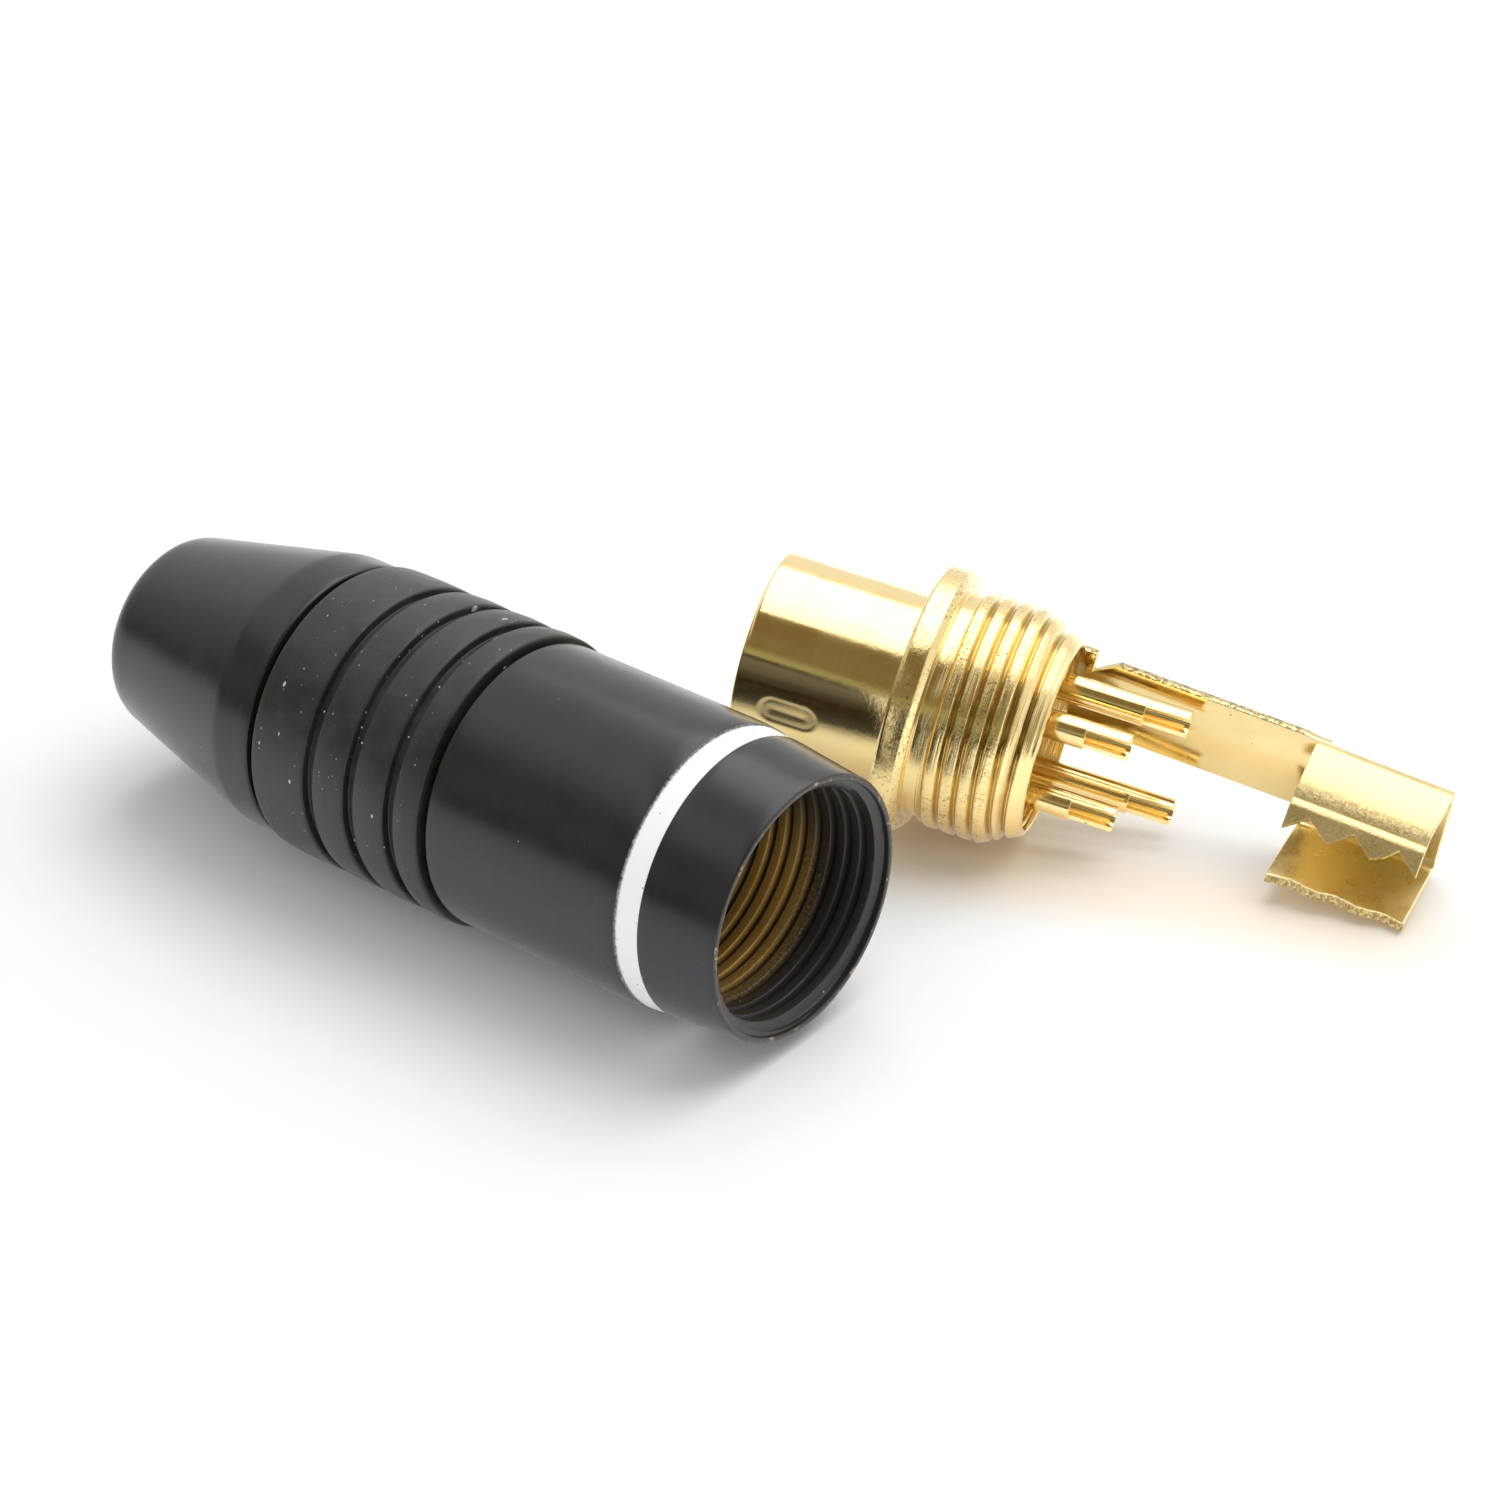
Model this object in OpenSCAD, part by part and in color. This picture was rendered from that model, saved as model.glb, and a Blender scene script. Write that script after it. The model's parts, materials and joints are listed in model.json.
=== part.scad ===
// Four-pole mini-DIN solder plug, taken apart: the screw barrel lies in front of the plug core.
// The barrel lies along X with its mouth towards +X. The core lies behind it, turned and tilted
// as it comes to rest on its flange and thread. The origin is under the middle of both.

/* [Barrel] */
// Length from the mouth to the tail
barrel_l = 37.1; // [35:0.1:42]
// Diameter of the straight front stretch
barrel_d = 13; // [12.8:0.1:14]
// Diameter at the edge of the mouth
mouth_d = 11.9; // [11.8:0.1:12.5]
// Length of the taper behind the mouth
mouth_taper_l = 5.5; // [5.2:0.1:8]
// Chamfer on the edge of the mouth
mouth_edge = 0.1; // [0.05:0.01:0.12]
// How far the band behind the sleeve stands out from the front stretch
shoulder_step = 0.1; // [0.05:0.05:0.3]
// Length of the band behind the sleeve
shoulder_l = 2; // [1:0.1:3]
// Length of the tapered tail
tail_l = 9.1; // [8:0.1:11]
// Diameter of the tail's end
tail_d = 8.9; // [8.6:0.1:10]
// Rounding of the tail's end
tail_round = 0.8; // [0.3:0.1:1]
// Wall between the sleeve's seat and the cavity
seat_wall = 0.7; // [0.5:0.05:0.9]
// Diameter of the cable bore in the tail
cable_bore_d = 6; // [5:0.1:6.4]
// Length of the cable bore
cable_bore_l = 4; // [3:0.1:5]

/* [Marking groove] */
// Distance of the groove from the mouth
ring_at = 3.5; // [2:0.1:3.6]
// Width of the groove
ring_w = 1.4; // [1:0.1:1.5]
// Depth of the groove
ring_depth = 0.06; // [0.03:0.01:0.08]

/* [Grip sleeve] */
// Diameter over the ribs
sleeve_d = 13.5; // [13.2:0.1:14.5]
// Length of the sleeve
sleeve_l = 10.2; // [9:0.1:12]
// Wall of the sleeve under a rib
sleeve_wall = 0.95; // [0.8:0.05:1]
// Gap at each end of the sleeve
sleeve_gap = 0.2; // [0.1:0.05:0.3]
// Number of ribs
rib_count = 4; // [3:1:5]
// Length of the rear rib
wide_rib_l = 3.3; // [2.5:0.1:4]
// Width of the grooves between the ribs
rib_groove_w = 0.35; // [0.2:0.05:0.5]
// Depth of the grooves between the ribs
rib_groove_depth = 0.35; // [0.2:0.05:0.5]
// Chamfer on the edges of a rib
rib_edge = 0.15; // [0.05:0.05:0.2]

/* [Thread] */
// Diameter over the collar's thread
thread_d = 11.1; // [11:0.05:11.2]
// Distance from crest to crest
thread_pitch = 0.8; // [0.7:0.05:0.9]
// Depth of the thread
thread_depth = 0.45; // [0.35:0.05:0.5]
// Flat on top of each crest
crest_flat = 0.12; // [0.05:0.01:0.2]
// Radial clearance between the two threads
thread_clearance = 0.08; // [0.05:0.01:0.1]
// Number of crests on the collar
collar_turns = 5; // [4:1:5]
// Number of turns in the mouth
mouth_turns = 9; // [6:1:12]
// Plain lead before the turns in the mouth
mouth_lead = 0.9; // [0.5:0.1:1.5]

/* [Collar] */
// Length of the collar
collar_l = 6.75; // [6.6:0.05:8]
// Diameter of the flange
flange_d = 12.25; // [12.1:0.05:13]
// Length of the flange's rim with its front chamfer
flange_l = 1.05; // [0.8:0.05:1.2]
// Chamfer on the flange's front edge
flange_front_edge = 0.15; // [0.05:0.05:0.3]
// Chamfer on the flange's rear edge
flange_rear_edge = 0.3; // [0.1:0.05:0.4]
// Plain neck between flange and thread
neck_l = 0.35; // [0.2:0.05:0.6]
// Length of the cone at the rear rim
rim_l = 1.85; // [1.5:0.05:2]
// Diameter of the rear rim's end
rim_d = 9.1; // [9:0.1:9.6]
// Diameter of the pocket behind the insulator
pocket_d = 8.6; // [8.4:0.1:8.8]
// Depth of that pocket from the rear rim
pocket_l = 3.1; // [2.5:0.1:3.5]

/* [Front shield] */
// Outer diameter of the shield
shield_d = 9; // [8.8:0.1:9.2]
// Length of the shield in front of the flange
shield_l = 7.2; // [6.5:0.1:8]
// Wall of the shield
shield_wall = 0.4; // [0.3:0.05:0.45]
// Length of the shield held inside the collar
shield_seat_l = 2; // [1.5:0.1:2.4]
// Chamfer on the front edge of the shield
shield_edge = 0.12; // [0.05:0.01:0.15]
// Number of key dimples around the shield
dimple_count = 3; // [1:1:4]
// Length of a key dimple
dimple_l = 2.85; // [2:0.05:3.2]
// Width of a key dimple
dimple_w = 1.4; // [1:0.1:1.6]
// Depth of a key dimple
dimple_depth = 0.18; // [0.1:0.01:0.2]
// Distance of a key dimple from the front edge
dimple_at = 1.35; // [1:0.05:2]

/* [Insulator] */
// Depth of the insulator's face behind the front edge
socket_depth = 6; // [5.5:0.1:6.3]
// Length of the insulator's rear flange
insulator_flange_l = 0.8; // [0.5:0.1:1]
// Radial clearance of the insulator
insulator_clearance = 0.02; // [0.01:0.01:0.05]
// Width of the key post
key_w = 2.2; // [1.5:0.1:2.5]
// Thickness of the key post
key_t = 1; // [0.8:0.1:1.2]
// Distance of the key post's middle from the axis
key_offset = 2.9; // [2.7:0.1:3]
// Distance of the key post's tip behind the front edge
key_recess = 1.2; // [0.8:0.1:2]

/* [Contacts] */
// Diameter of a contact pin
contact_d = 1; // [0.8:0.05:1.1]
// Distance of the pin's tip behind the front edge
contact_recess = 1; // [0.6:0.1:1.5]
// Taper at the pin's tip
contact_tip = 0.25; // [0.1:0.05:0.4]
// Diameter of a solder cup
cup_d = 1.25; // [1.2:0.05:1.4]
// Diameter of the hole in a solder cup
cup_bore_d = 0.8; // [0.6:0.05:0.9]
// Length of the open side of a solder cup
cup_l = 2.2; // [1.5:0.1:2.5]
// Height of the wall that the open side leaves, above the cup's middle
cup_wall = 0.1; // [0:0.05:0.2]
// Reach of the long contacts behind the collar
long_reach = 5.7; // [4.5:0.1:7]
// Reach of the short contacts behind the collar
short_reach = 3.35; // [2.8:0.05:4]
// Distance between the two long contacts
long_span = 4.75; // [4.5:0.05:5]
// Distance between the two short contacts
short_span = 3.85; // [3.5:0.05:4]
// Distance between the long and the short contacts
row_span = 2.6; // [2.4:0.1:2.8]
// Drop of all contacts under the axis
contact_drop = 0.35; // [0:0.05:0.4]

/* [Cable clamp] */
// Thickness of the sheet
sheet_t = 0.45; // [0.3:0.05:0.5]
// Distance of the sheet's outer face from the axis, at the collar
strip_offset = 3.85; // [3.6:0.05:3.9]
// Width of the strip
strip_w = 3.7; // [3:0.05:4]
// Height of the strip's middle over the axis
strip_rise = 0.8; // [0.3:0.05:0.9]
// Length of the strip between collar and clamp
strip_l = 11.3; // [9:0.05:12]
// Inward lean of the strip, in degrees
strip_lean = 4.5; // [2:0.5:6]
// Depth of the dip in the strip's upper edge at the clamp
strip_dip = 0.4; // [0.2:0.05:0.6]
// Length of that dip
strip_dip_l = 0.9; // [0.5:0.1:1.5]
// Relief slit between the strip's corners and the folds
strip_relief = 0.1; // [0.05:0.05:0.3]
// Width of the tongue that enters the collar
tongue_w = 1.8; // [1.2:0.1:2]
// Length of the ears beside the tongue
ear_l = 0.5; // [0.3:0.1:0.8]
// Height of the ears over the strip's edges
ear_h = 0.4; // [0.2:0.1:0.6]
// Length of the clamp
clamp_l = 6.4; // [5:0.1:7]
// Height over the folds of the clamp
clamp_h = 4.9; // [4:0.1:5]
// Height of the clamp's middle over the axis
clamp_rise = 0.05; // [0:0.05:0.4]
// Turn of the clamp in the strip's plane, in degrees
clamp_turn = 2; // [0.5:0.5:3]
// Inner radius of the folds
fold_r = 0.5; // [0.3:0.1:0.7]
// Angle of the fold under the upper flap
flap_angle = 103; // [90:1:105]
// Depth of the upper flap, from the back of the clamp to the crease
flap_l = 4.3; // [3.5:0.1:4.5]
// Angle of the crease above the teeth
crease_angle = 32; // [20:1:60]
// Inner radius of the crease
crease_r = 0.15; // [0.1:0.05:0.3]
// Length of the teeth's sheet from crease to tips
tooth_l = 1.05; // [1:0.05:1.5]
// Depth of the notches between the teeth
tooth_depth = 0.8; // [0.5:0.05:0.9]
// Number of notches between the teeth
tooth_notches = 3; // [2:1:4]
// Flat left on the tip of each tooth
tooth_flat = 0.1; // [0.05:0.05:0.3]
// Depth of the lower wing, from the back of the clamp to its edge
wing_l = 5.4; // [4.5:0.1:5.6]
// Depth of the notches in the lower wing's edge
wing_notch = 0.25; // [0.1:0.05:0.5]

/* [Layout] */
// Distance of the core's flange behind the barrel's mouth, along the barrel
core_back = 7.8; // [6:0.1:10]
// Distance of the core's flange from the barrel's axis
core_aside = 17.5; // [17:0.1:22]
// Turn of the core away from the barrel, in degrees
core_turn = 20.4; // [15:0.1:25]

/* [Hidden] */
$fn = 96;
fold_steps = 12;

black_paint = [0.07, 0.07, 0.08];
black_rubber = [0.13, 0.13, 0.13];
gold = [0.86, 0.68, 0.28];
pale_plastic = [0.92, 0.9, 0.84];

// A cut reaches this far past the face that it opens
past = 0.1;

// Barrel, measured from the mouth towards the tail
barrel_r = barrel_d / 2;
mouth_r = mouth_d / 2;
shoulder_r = barrel_r + shoulder_step;
tail_r = tail_d / 2;
cable_r = cable_bore_d / 2;
sleeve_r = sleeve_d / 2;
seat_r = sleeve_r - sleeve_wall;
cavity_r = seat_r - seat_wall;
lying_r = max(sleeve_r, shoulder_r);
seat_l = sleeve_l + 2 * sleeve_gap;
tail_at = barrel_l - tail_l;
seat_end = tail_at - shoulder_l;
seat_at = seat_end - seat_l;
sleeve_at = seat_at + sleeve_gap;
narrow_rib_l = (sleeve_l - wide_rib_l) / (rib_count - 1);

// Thread, shared by collar and mouth
crest_r = thread_d / 2;
root_r = crest_r - thread_depth;
mouth_major_r = crest_r + thread_clearance;
mouth_minor_r = root_r + thread_clearance;
mouth_thread_end = mouth_lead + mouth_turns * thread_pitch;
funnel_l = cavity_r - cable_r;
funnel_at = barrel_l - cable_bore_l - funnel_l;

// Core, measured from the flange's front face towards the clamp
flange_r = flange_d / 2;
rim_r = rim_d / 2;
pocket_r = pocket_d / 2;
shield_r = shield_d / 2;
shield_bore_r = shield_r - shield_wall;
pocket_at = collar_l - pocket_l;
insulator_rear = pocket_at + insulator_flange_l;
insulator_front = socket_depth - shield_l;
thread_at = flange_l + flange_rear_edge + neck_l;
rim_at = collar_l - rim_l;
cup_r = cup_d / 2;
contact_r = contact_d / 2;
bend_out = fold_r + sheet_t;
crease_out = crease_r + sheet_t;
clamp_top = clamp_rise + clamp_h / 2;
clamp_bottom = clamp_rise - clamp_h / 2;
wall_top = clamp_top - bend_out;
wall_bottom = clamp_bottom + bend_out;

// Radius that the rear cone leaves at a distance from the flange's front face
function cone_r(at) = crest_r + (rim_r - crest_r) * max(0, at - rim_at) / rim_l;
function crest_at(turn) = thread_at + (turn + 0.5) * thread_pitch;
function crest_top(turn) = min(crest_r, cone_r(crest_at(turn) + crest_flat / 2));

// The core tips back from its flange until the first crest meets the table
core_tilt = min([for (turn = [0 : collar_turns - 1])
    atan((flange_r - crest_top(turn)) / (crest_at(turn) + crest_flat / 2 - flange_l))]);
core_rise = flange_r * cos(core_tilt) + flange_l * sin(core_tilt);

// Contact places, across and up from the axis
long_y = row_span / 2;
short_y = -row_span / 2;

// Clamp seen along the strip, as places across from its back and up from the axis
function heading(angle) = [cos(angle), sin(angle)];
flap_heading = 90 + flap_angle;
tooth_heading = flap_heading + crease_angle;
low_center = [-bend_out, wall_bottom];
high_center = [-bend_out, wall_top];
flap_end = high_center + bend_out * heading(flap_angle) + (flap_l - bend_out) * heading(flap_heading);
crease_center = flap_end - crease_out * heading(flap_angle);
tooth_start = crease_center + crease_out * heading(flap_angle + crease_angle);
tooth_tip = tooth_start + tooth_l * heading(tooth_heading);

// Corners of the clamp's rear end, for the overall box
clamp_corners = [for (p = [[0, wall_top], [-wing_l, clamp_bottom], flap_end, tooth_start, tooth_tip])
    let (high = p.y - wall_bottom)
    [strip_l + clamp_l * cos(clamp_turn) - high * sin(clamp_turn), p.x,
     wall_bottom + clamp_l * sin(clamp_turn) + high * cos(clamp_turn)]];
strip_at = collar_l + sheet_t * sin(strip_lean);
function leaned(p) = [strip_at + p.x * cos(strip_lean) + p.y * sin(strip_lean),
                      strip_offset - p.x * sin(strip_lean) + p.y * cos(strip_lean), p.z];
function tipped_x(p) = p.x * cos(core_tilt) + p.z * sin(core_tilt);
function placed_x(p) = -core_back + tipped_x(p) * cos(core_turn) - p.y * sin(core_turn);
function placed_y(p) = core_aside + tipped_x(p) * sin(core_turn) + p.y * cos(core_turn);

// The mouth's place puts the origin under the middle of the whole
mouth_x = (barrel_l - max([for (p = clamp_corners) placed_x(leaned(p))])) / 2;
barrel_y = (lying_r - max([for (p = clamp_corners) placed_y(leaned(p))])) / 2;

// Lays a piece that stands on its mouth along the barrel's axis
module in_barrel() {
    translate([mouth_x, barrel_y, lying_r]) rotate([0, -90, 0]) children();
}

// Lays a piece with its axis along X where the core rests
module in_core() {
    translate([mouth_x - core_back, barrel_y + core_aside, core_rise])
        rotate([0, 0, core_turn]) rotate([0, core_tilt, 0]) children();
}

// Turns a piece that stands on the flange's front face along the core's axis
module along_core() {
    in_core() rotate([0, 90, 0]) children();
}

// Turns about the axis of a list of [distance along the axis, radius]
module turned(outline) {
    rotate_extrude() polygon([for (p = outline) [p.y, p.x]]);
}

// Barrel shell

function mouth_outer_r(at) = mouth_r + (barrel_r - mouth_r) * at / mouth_taper_l;

function arc_points(center, radius, from, to, steps) =
    [for (i = [0 : steps]) let (a = from + (to - from) * i / steps)
        [center.x + radius * cos(a), center.y + radius * sin(a)]];

module barrel_shell() {
    ring_end = ring_at + ring_w;
    tail_slope = atan((shoulder_r - tail_r) / tail_l);
    round_center = [barrel_l - tail_round,
                    tail_r + tail_round * tan(tail_slope) - tail_round / cos(tail_slope)];
    outer = [[0, mouth_r - mouth_edge],
             [mouth_edge, mouth_outer_r(mouth_edge)],
             [ring_at, mouth_outer_r(ring_at)],
             [ring_at, mouth_outer_r(ring_at) - ring_depth],
             [ring_end, mouth_outer_r(ring_end) - ring_depth],
             [ring_end, mouth_outer_r(ring_end)],
             [mouth_taper_l, barrel_r],
             [seat_at, barrel_r],
             [seat_at, seat_r],
             [seat_end, seat_r],
             [seat_end, shoulder_r],
             [tail_at, shoulder_r]];
    tail_edge = arc_points(round_center, tail_round, 90 - tail_slope, 0, 8);
    inside = [[barrel_l, cable_r],
              [funnel_at + funnel_l, cable_r],
              [funnel_at, cavity_r],
              [mouth_thread_end, cavity_r]];
    turns = [for (turn = [mouth_turns - 1 : -1 : 0]) each
             let (at = mouth_lead + turn * thread_pitch)
             [[at + thread_pitch, mouth_minor_r],
              [at + thread_pitch / 2, mouth_major_r]]];
    lead = [[mouth_lead, mouth_minor_r], [mouth_lead, mouth_major_r], [0, mouth_major_r]];
    color(black_paint) in_barrel() turned(concat(outer, tail_edge, inside, turns, lead));
}

// Grip sleeve

function rib(from, to) = [[from, sleeve_r - rib_groove_depth],
                          [from, sleeve_r - rib_edge],
                          [from + rib_edge, sleeve_r],
                          [to - rib_edge, sleeve_r],
                          [to, sleeve_r - rib_edge],
                          [to, sleeve_r - rib_groove_depth]];

module grip_sleeve() {
    narrow_ribs = [for (i = [0 : rib_count - 2]) each
        rib(sleeve_at + i * narrow_rib_l, sleeve_at + (i + 1) * narrow_rib_l - rib_groove_w)];
    wide_rib = rib(sleeve_at + sleeve_l - wide_rib_l, sleeve_at + sleeve_l);
    inside = [[sleeve_at + sleeve_l, seat_r], [sleeve_at, seat_r]];
    color(black_rubber) in_barrel() turned(concat(narrow_ribs, wide_rib, inside));
}

// Front shield

module dimple_outline(inset) {
    half = (dimple_l - dimple_w) / 2;
    for (side = [-1, 1]) translate([side * half, 0]) circle(dimple_w / 2 - inset);
    square([2 * half, dimple_w - 2 * inset], center = true);
}

// A prism of the dimple's outline, from the axis outwards on the side away from the strip
module dimple_prism(turn, inset) {
    rotate([turn, 0, 0])
        translate([dimple_at + dimple_l / 2 - shield_l, 0, 0])
            rotate([90, 0, 0]) linear_extrude(shield_r + past) dimple_outline(inset);
}

module front_shield() {
    tube = [[-shield_l, shield_bore_r],
            [-shield_l, shield_r - shield_edge],
            [shield_edge - shield_l, shield_r],
            [shield_seat_l, shield_r],
            [shield_seat_l, shield_bore_r]];
    floor_r = shield_r - dimple_depth;
    floor_bore_r = shield_bore_r - dimple_depth;
    color(gold) in_core() {
        difference() {
            rotate([0, 90, 0]) turned(tube);
            for (i = [0 : dimple_count - 1]) difference() {
                dimple_prism(i * 360 / dimple_count, 0);
                rotate([0, 90, 0]) cylinder(r = floor_r, h = 3 * shield_l, center = true);
            }
        }
        for (i = [0 : dimple_count - 1]) intersection() {
            dimple_prism(i * 360 / dimple_count, 0);
            rotate([0, 90, 0])
                turned([[-shield_l, floor_bore_r], [-shield_l, floor_r], [0, floor_r], [0, floor_bore_r]]);
        }
    }
}

// Threaded collar

module threaded_collar() {
    front = [[0, shield_r],
             [0, flange_r - flange_front_edge],
             [flange_front_edge, flange_r],
             [flange_l, flange_r],
             [flange_l + flange_rear_edge, flange_r - flange_rear_edge],
             [flange_l + flange_rear_edge, root_r],
             [thread_at, root_r]];
    crests = [for (turn = [0 : collar_turns - 1]) each
              let (at = crest_at(turn), end = at + thread_pitch / 2)
              [[at - crest_flat / 2, crest_top(turn)],
               [at + crest_flat / 2, crest_top(turn)],
               [end, min(root_r, cone_r(end))]]];
    rear = [[collar_l, rim_r],
            [collar_l, pocket_r],
            [pocket_at, pocket_r],
            [pocket_at, shield_bore_r],
            [shield_seat_l, shield_bore_r],
            [shield_seat_l, shield_r]];
    color(gold) along_core() turned(concat(front, crests, rear));
}

// Insulator

module contact_hole(y, z) {
    translate([insulator_front - past, y, z]) rotate([0, 90, 0])
        cylinder(d = contact_d, h = insulator_rear - insulator_front + 2 * past);
}

module insulator() {
    body_r = shield_bore_r - dimple_depth - insulator_clearance;
    block = [[insulator_front, 0],
             [insulator_front, body_r],
             [0, body_r],
             [0, shield_bore_r - insulator_clearance],
             [pocket_at, shield_bore_r - insulator_clearance],
             [pocket_at, pocket_r - insulator_clearance],
             [insulator_rear, pocket_r - insulator_clearance],
             [insulator_rear, 0]];
    color(pale_plastic) in_core() difference() {
        rotate([0, 90, 0]) turned(block);
        for (side = [-1, 1]) {
            contact_hole(long_y, side * long_span / 2 - contact_drop);
            contact_hole(short_y, side * short_span / 2 - contact_drop);
        }
    }
}

// Key post, on the insulator's face

module key_post() {
    key_l = insulator_front + shield_l - key_recess;
    color(pale_plastic) in_core()
        translate([insulator_front - key_l, -key_offset - key_t / 2, -key_w / 2])
            cube([key_l, key_t, key_w]);
}

// Contacts

module contact(y, z, reach) {
    end = collar_l + reach;
    tip = contact_recess - shield_l;
    pin = [[tip, 0],
           [tip, contact_r - contact_tip],
           [tip + contact_tip, contact_r],
           [insulator_rear, contact_r],
           [insulator_rear, cup_r],
           [end, cup_r],
           [end, 0]];
    color(gold) in_core() translate([0, y, z]) difference() {
        rotate([0, 90, 0]) turned(pin);
        translate([end - cup_l, 0, 0]) rotate([0, 90, 0]) cylinder(d = cup_bore_d, h = cup_l + past);
        translate([end - cup_l, -cup_d - cup_wall, -cup_d]) cube([cup_l + past, cup_d, 2 * cup_d]);
    }
}

module contact_upper_long() { contact(long_y, long_span / 2 - contact_drop, long_reach); }
module contact_upper_short() { contact(short_y, short_span / 2 - contact_drop, short_reach); }
module contact_lower_long() { contact(long_y, -long_span / 2 - contact_drop, long_reach); }
module contact_lower_short() { contact(short_y, -short_span / 2 - contact_drop, short_reach); }

// Cable clamp, one folded sheet

// One face of the clamp's sheet, from the lower wing's edge round to the tooth tips
function sheet_face(fold_radius, crease_radius, depth) =
    concat([[-wing_l, clamp_bottom + depth]],
           arc_points(low_center, fold_radius, -90, 0, fold_steps),
           arc_points(high_center, fold_radius, 0, flap_angle, fold_steps),
           arc_points(crease_center, crease_radius, flap_angle, flap_angle + crease_angle, fold_steps),
           [tooth_tip + depth * heading(tooth_heading + 90)]);

function backwards(points) = [for (i = [len(points) - 1 : -1 : 0]) points[i]];

// Cuts for the notches between the teeth of an edge that lies at a length from its start
module notch_cuts(start, angle, length, depth) {
    step = clamp_l / (2 * tooth_notches);
    spread = (step - tooth_flat / 2) * (depth + past) / depth;
    translate([start.x, start.y, 0]) rotate([90, 0, angle])
        linear_extrude(2 * (sheet_t + past), center = true)
            for (i = [0 : tooth_notches - 1]) translate([length - depth, (2 * i + 1) * step])
                polygon([[0, 0], [depth + past, -spread], [depth + past, spread]]);
}

module clamp_roll() {
    outer = sheet_face(bend_out, crease_out, 0);
    inner = sheet_face(fold_r, crease_r, sheet_t);
    translate([strip_l, 0, wall_bottom]) rotate([0, -clamp_turn, 0]) translate([0, 0, -wall_bottom])
        rotate([90, 0, 90]) difference() {
            linear_extrude(clamp_l) polygon(concat(outer, backwards(inner)));
            notch_cuts(tooth_start, tooth_heading, tooth_l, tooth_depth);
            notch_cuts([-bend_out, clamp_bottom], 180, wing_l - bend_out, wing_notch);
        }
}

module strip() {
    low = strip_rise - strip_w / 2;
    high = strip_rise + strip_w / 2;
    end = strip_l - (high - wall_bottom) * sin(clamp_turn) - strip_relief;
    neck_low = max(low, wall_bottom) + past;
    neck_high = min(high, wall_top) - past;
    outline = [[0, low - ear_h], [ear_l, low - ear_h], [ear_l, low],
               [end, low],
               [end, neck_low], [strip_l + past, neck_low],
               [strip_l + past, neck_high], [end, neck_high],
               [end, high - strip_dip], [end - strip_dip_l, high],
               [ear_l, high], [ear_l, high + ear_h], [0, high + ear_h]];
    rotate([90, 0, 0]) linear_extrude(sheet_t) polygon(outline);
}

module cable_clamp() {
    color(gold) in_core() {
        translate([strip_at, strip_offset, 0]) rotate([0, 0, -strip_lean]) {
            strip();
            clamp_roll();
        }
        translate([insulator_rear, strip_offset - sheet_t, strip_rise - tongue_w / 2])
            cube([collar_l + ear_l / 2 - insulator_rear, sheet_t, tongue_w]);
    }
}

barrel_shell();
grip_sleeve();
front_shield();
threaded_collar();
insulator();
key_post();
contact_upper_long();
contact_upper_short();
contact_lower_long();
contact_lower_short();
cable_clamp();
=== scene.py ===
"""Looks of the mini-DIN plug: the black screw barrel and, behind it, the gold plug core."""

import json
import math

import bmesh
import bpy
from mathutils import Matrix, Vector, noise


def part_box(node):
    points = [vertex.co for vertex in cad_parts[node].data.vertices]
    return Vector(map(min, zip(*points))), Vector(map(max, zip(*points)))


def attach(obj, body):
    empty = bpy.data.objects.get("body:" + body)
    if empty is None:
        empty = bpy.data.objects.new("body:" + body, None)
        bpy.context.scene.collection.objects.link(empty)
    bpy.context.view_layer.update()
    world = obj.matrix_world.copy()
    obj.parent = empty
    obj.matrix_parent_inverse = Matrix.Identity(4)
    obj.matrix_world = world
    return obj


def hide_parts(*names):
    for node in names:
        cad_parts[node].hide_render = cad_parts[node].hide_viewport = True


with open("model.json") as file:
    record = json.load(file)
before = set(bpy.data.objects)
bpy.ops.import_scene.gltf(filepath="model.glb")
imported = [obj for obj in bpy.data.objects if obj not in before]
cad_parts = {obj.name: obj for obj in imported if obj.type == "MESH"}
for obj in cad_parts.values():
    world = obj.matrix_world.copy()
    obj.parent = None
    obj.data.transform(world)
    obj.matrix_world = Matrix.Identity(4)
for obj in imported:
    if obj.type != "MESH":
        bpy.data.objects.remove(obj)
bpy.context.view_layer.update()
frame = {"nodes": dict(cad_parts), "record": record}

MM = 0.001
UP = Vector((0, 0, 1))

# Barrel sizes, in millimetres, measured from its mouth
BARREL_L = 37.1
MOUTH_R = 5.95
MOUTH_TAPER_L = 5.5
MOUTH_ROUND = 0.12
MOUTH_INNER_ROUND = 0.08
BODY_R = 6.5
SHOULDER_R = 6.52
SHOULDER_ROUND = 0.2
TAIL_AT = 28.0
TAIL_R = 4.45
TAIL_ROUND = 0.8
SEAT_AT = 15.4
SEAT_END = 26.0
SEAT_R = 5.8
SEAT_ROUND = 0.1
SEAT_END_ROUND = 0.15
CABLE_R = 3.0
CABLE_BORE_L = 4.0
CABLE_ROUND = 0.2
CABLE_END_ROUND = 0.1
FUNNEL_AT = 31.0
CAVITY_R = 5.1
RING_AT = 3.75
RING_W = 1.15
RING_DEPTH = 0.06
RING_ROUND = 0.02

# Raw brass in the barrel's cavity: where the paint thins out, and where it covers the wall again
RAW_FROM = (6.0, 9.0)
RAW_TO = (29.5, 30.5)

# Rubber sleeve
SLEEVE_AT = 15.75
SLEEVE_R = 6.745
RIB_LENGTHS = (1.95, 2.35, 2.4, 3.1)
SLEEVE_L = sum(RIB_LENGTHS)
RIB_GROOVE = 0.45
RIB_GAP = 0.56
RIB_ROUND = 0.13
RIB_CROWN = 0.04
RIB_CROWN_SHARE = 0.3
RIB_GROOVE_ROUND = 0.06

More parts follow.
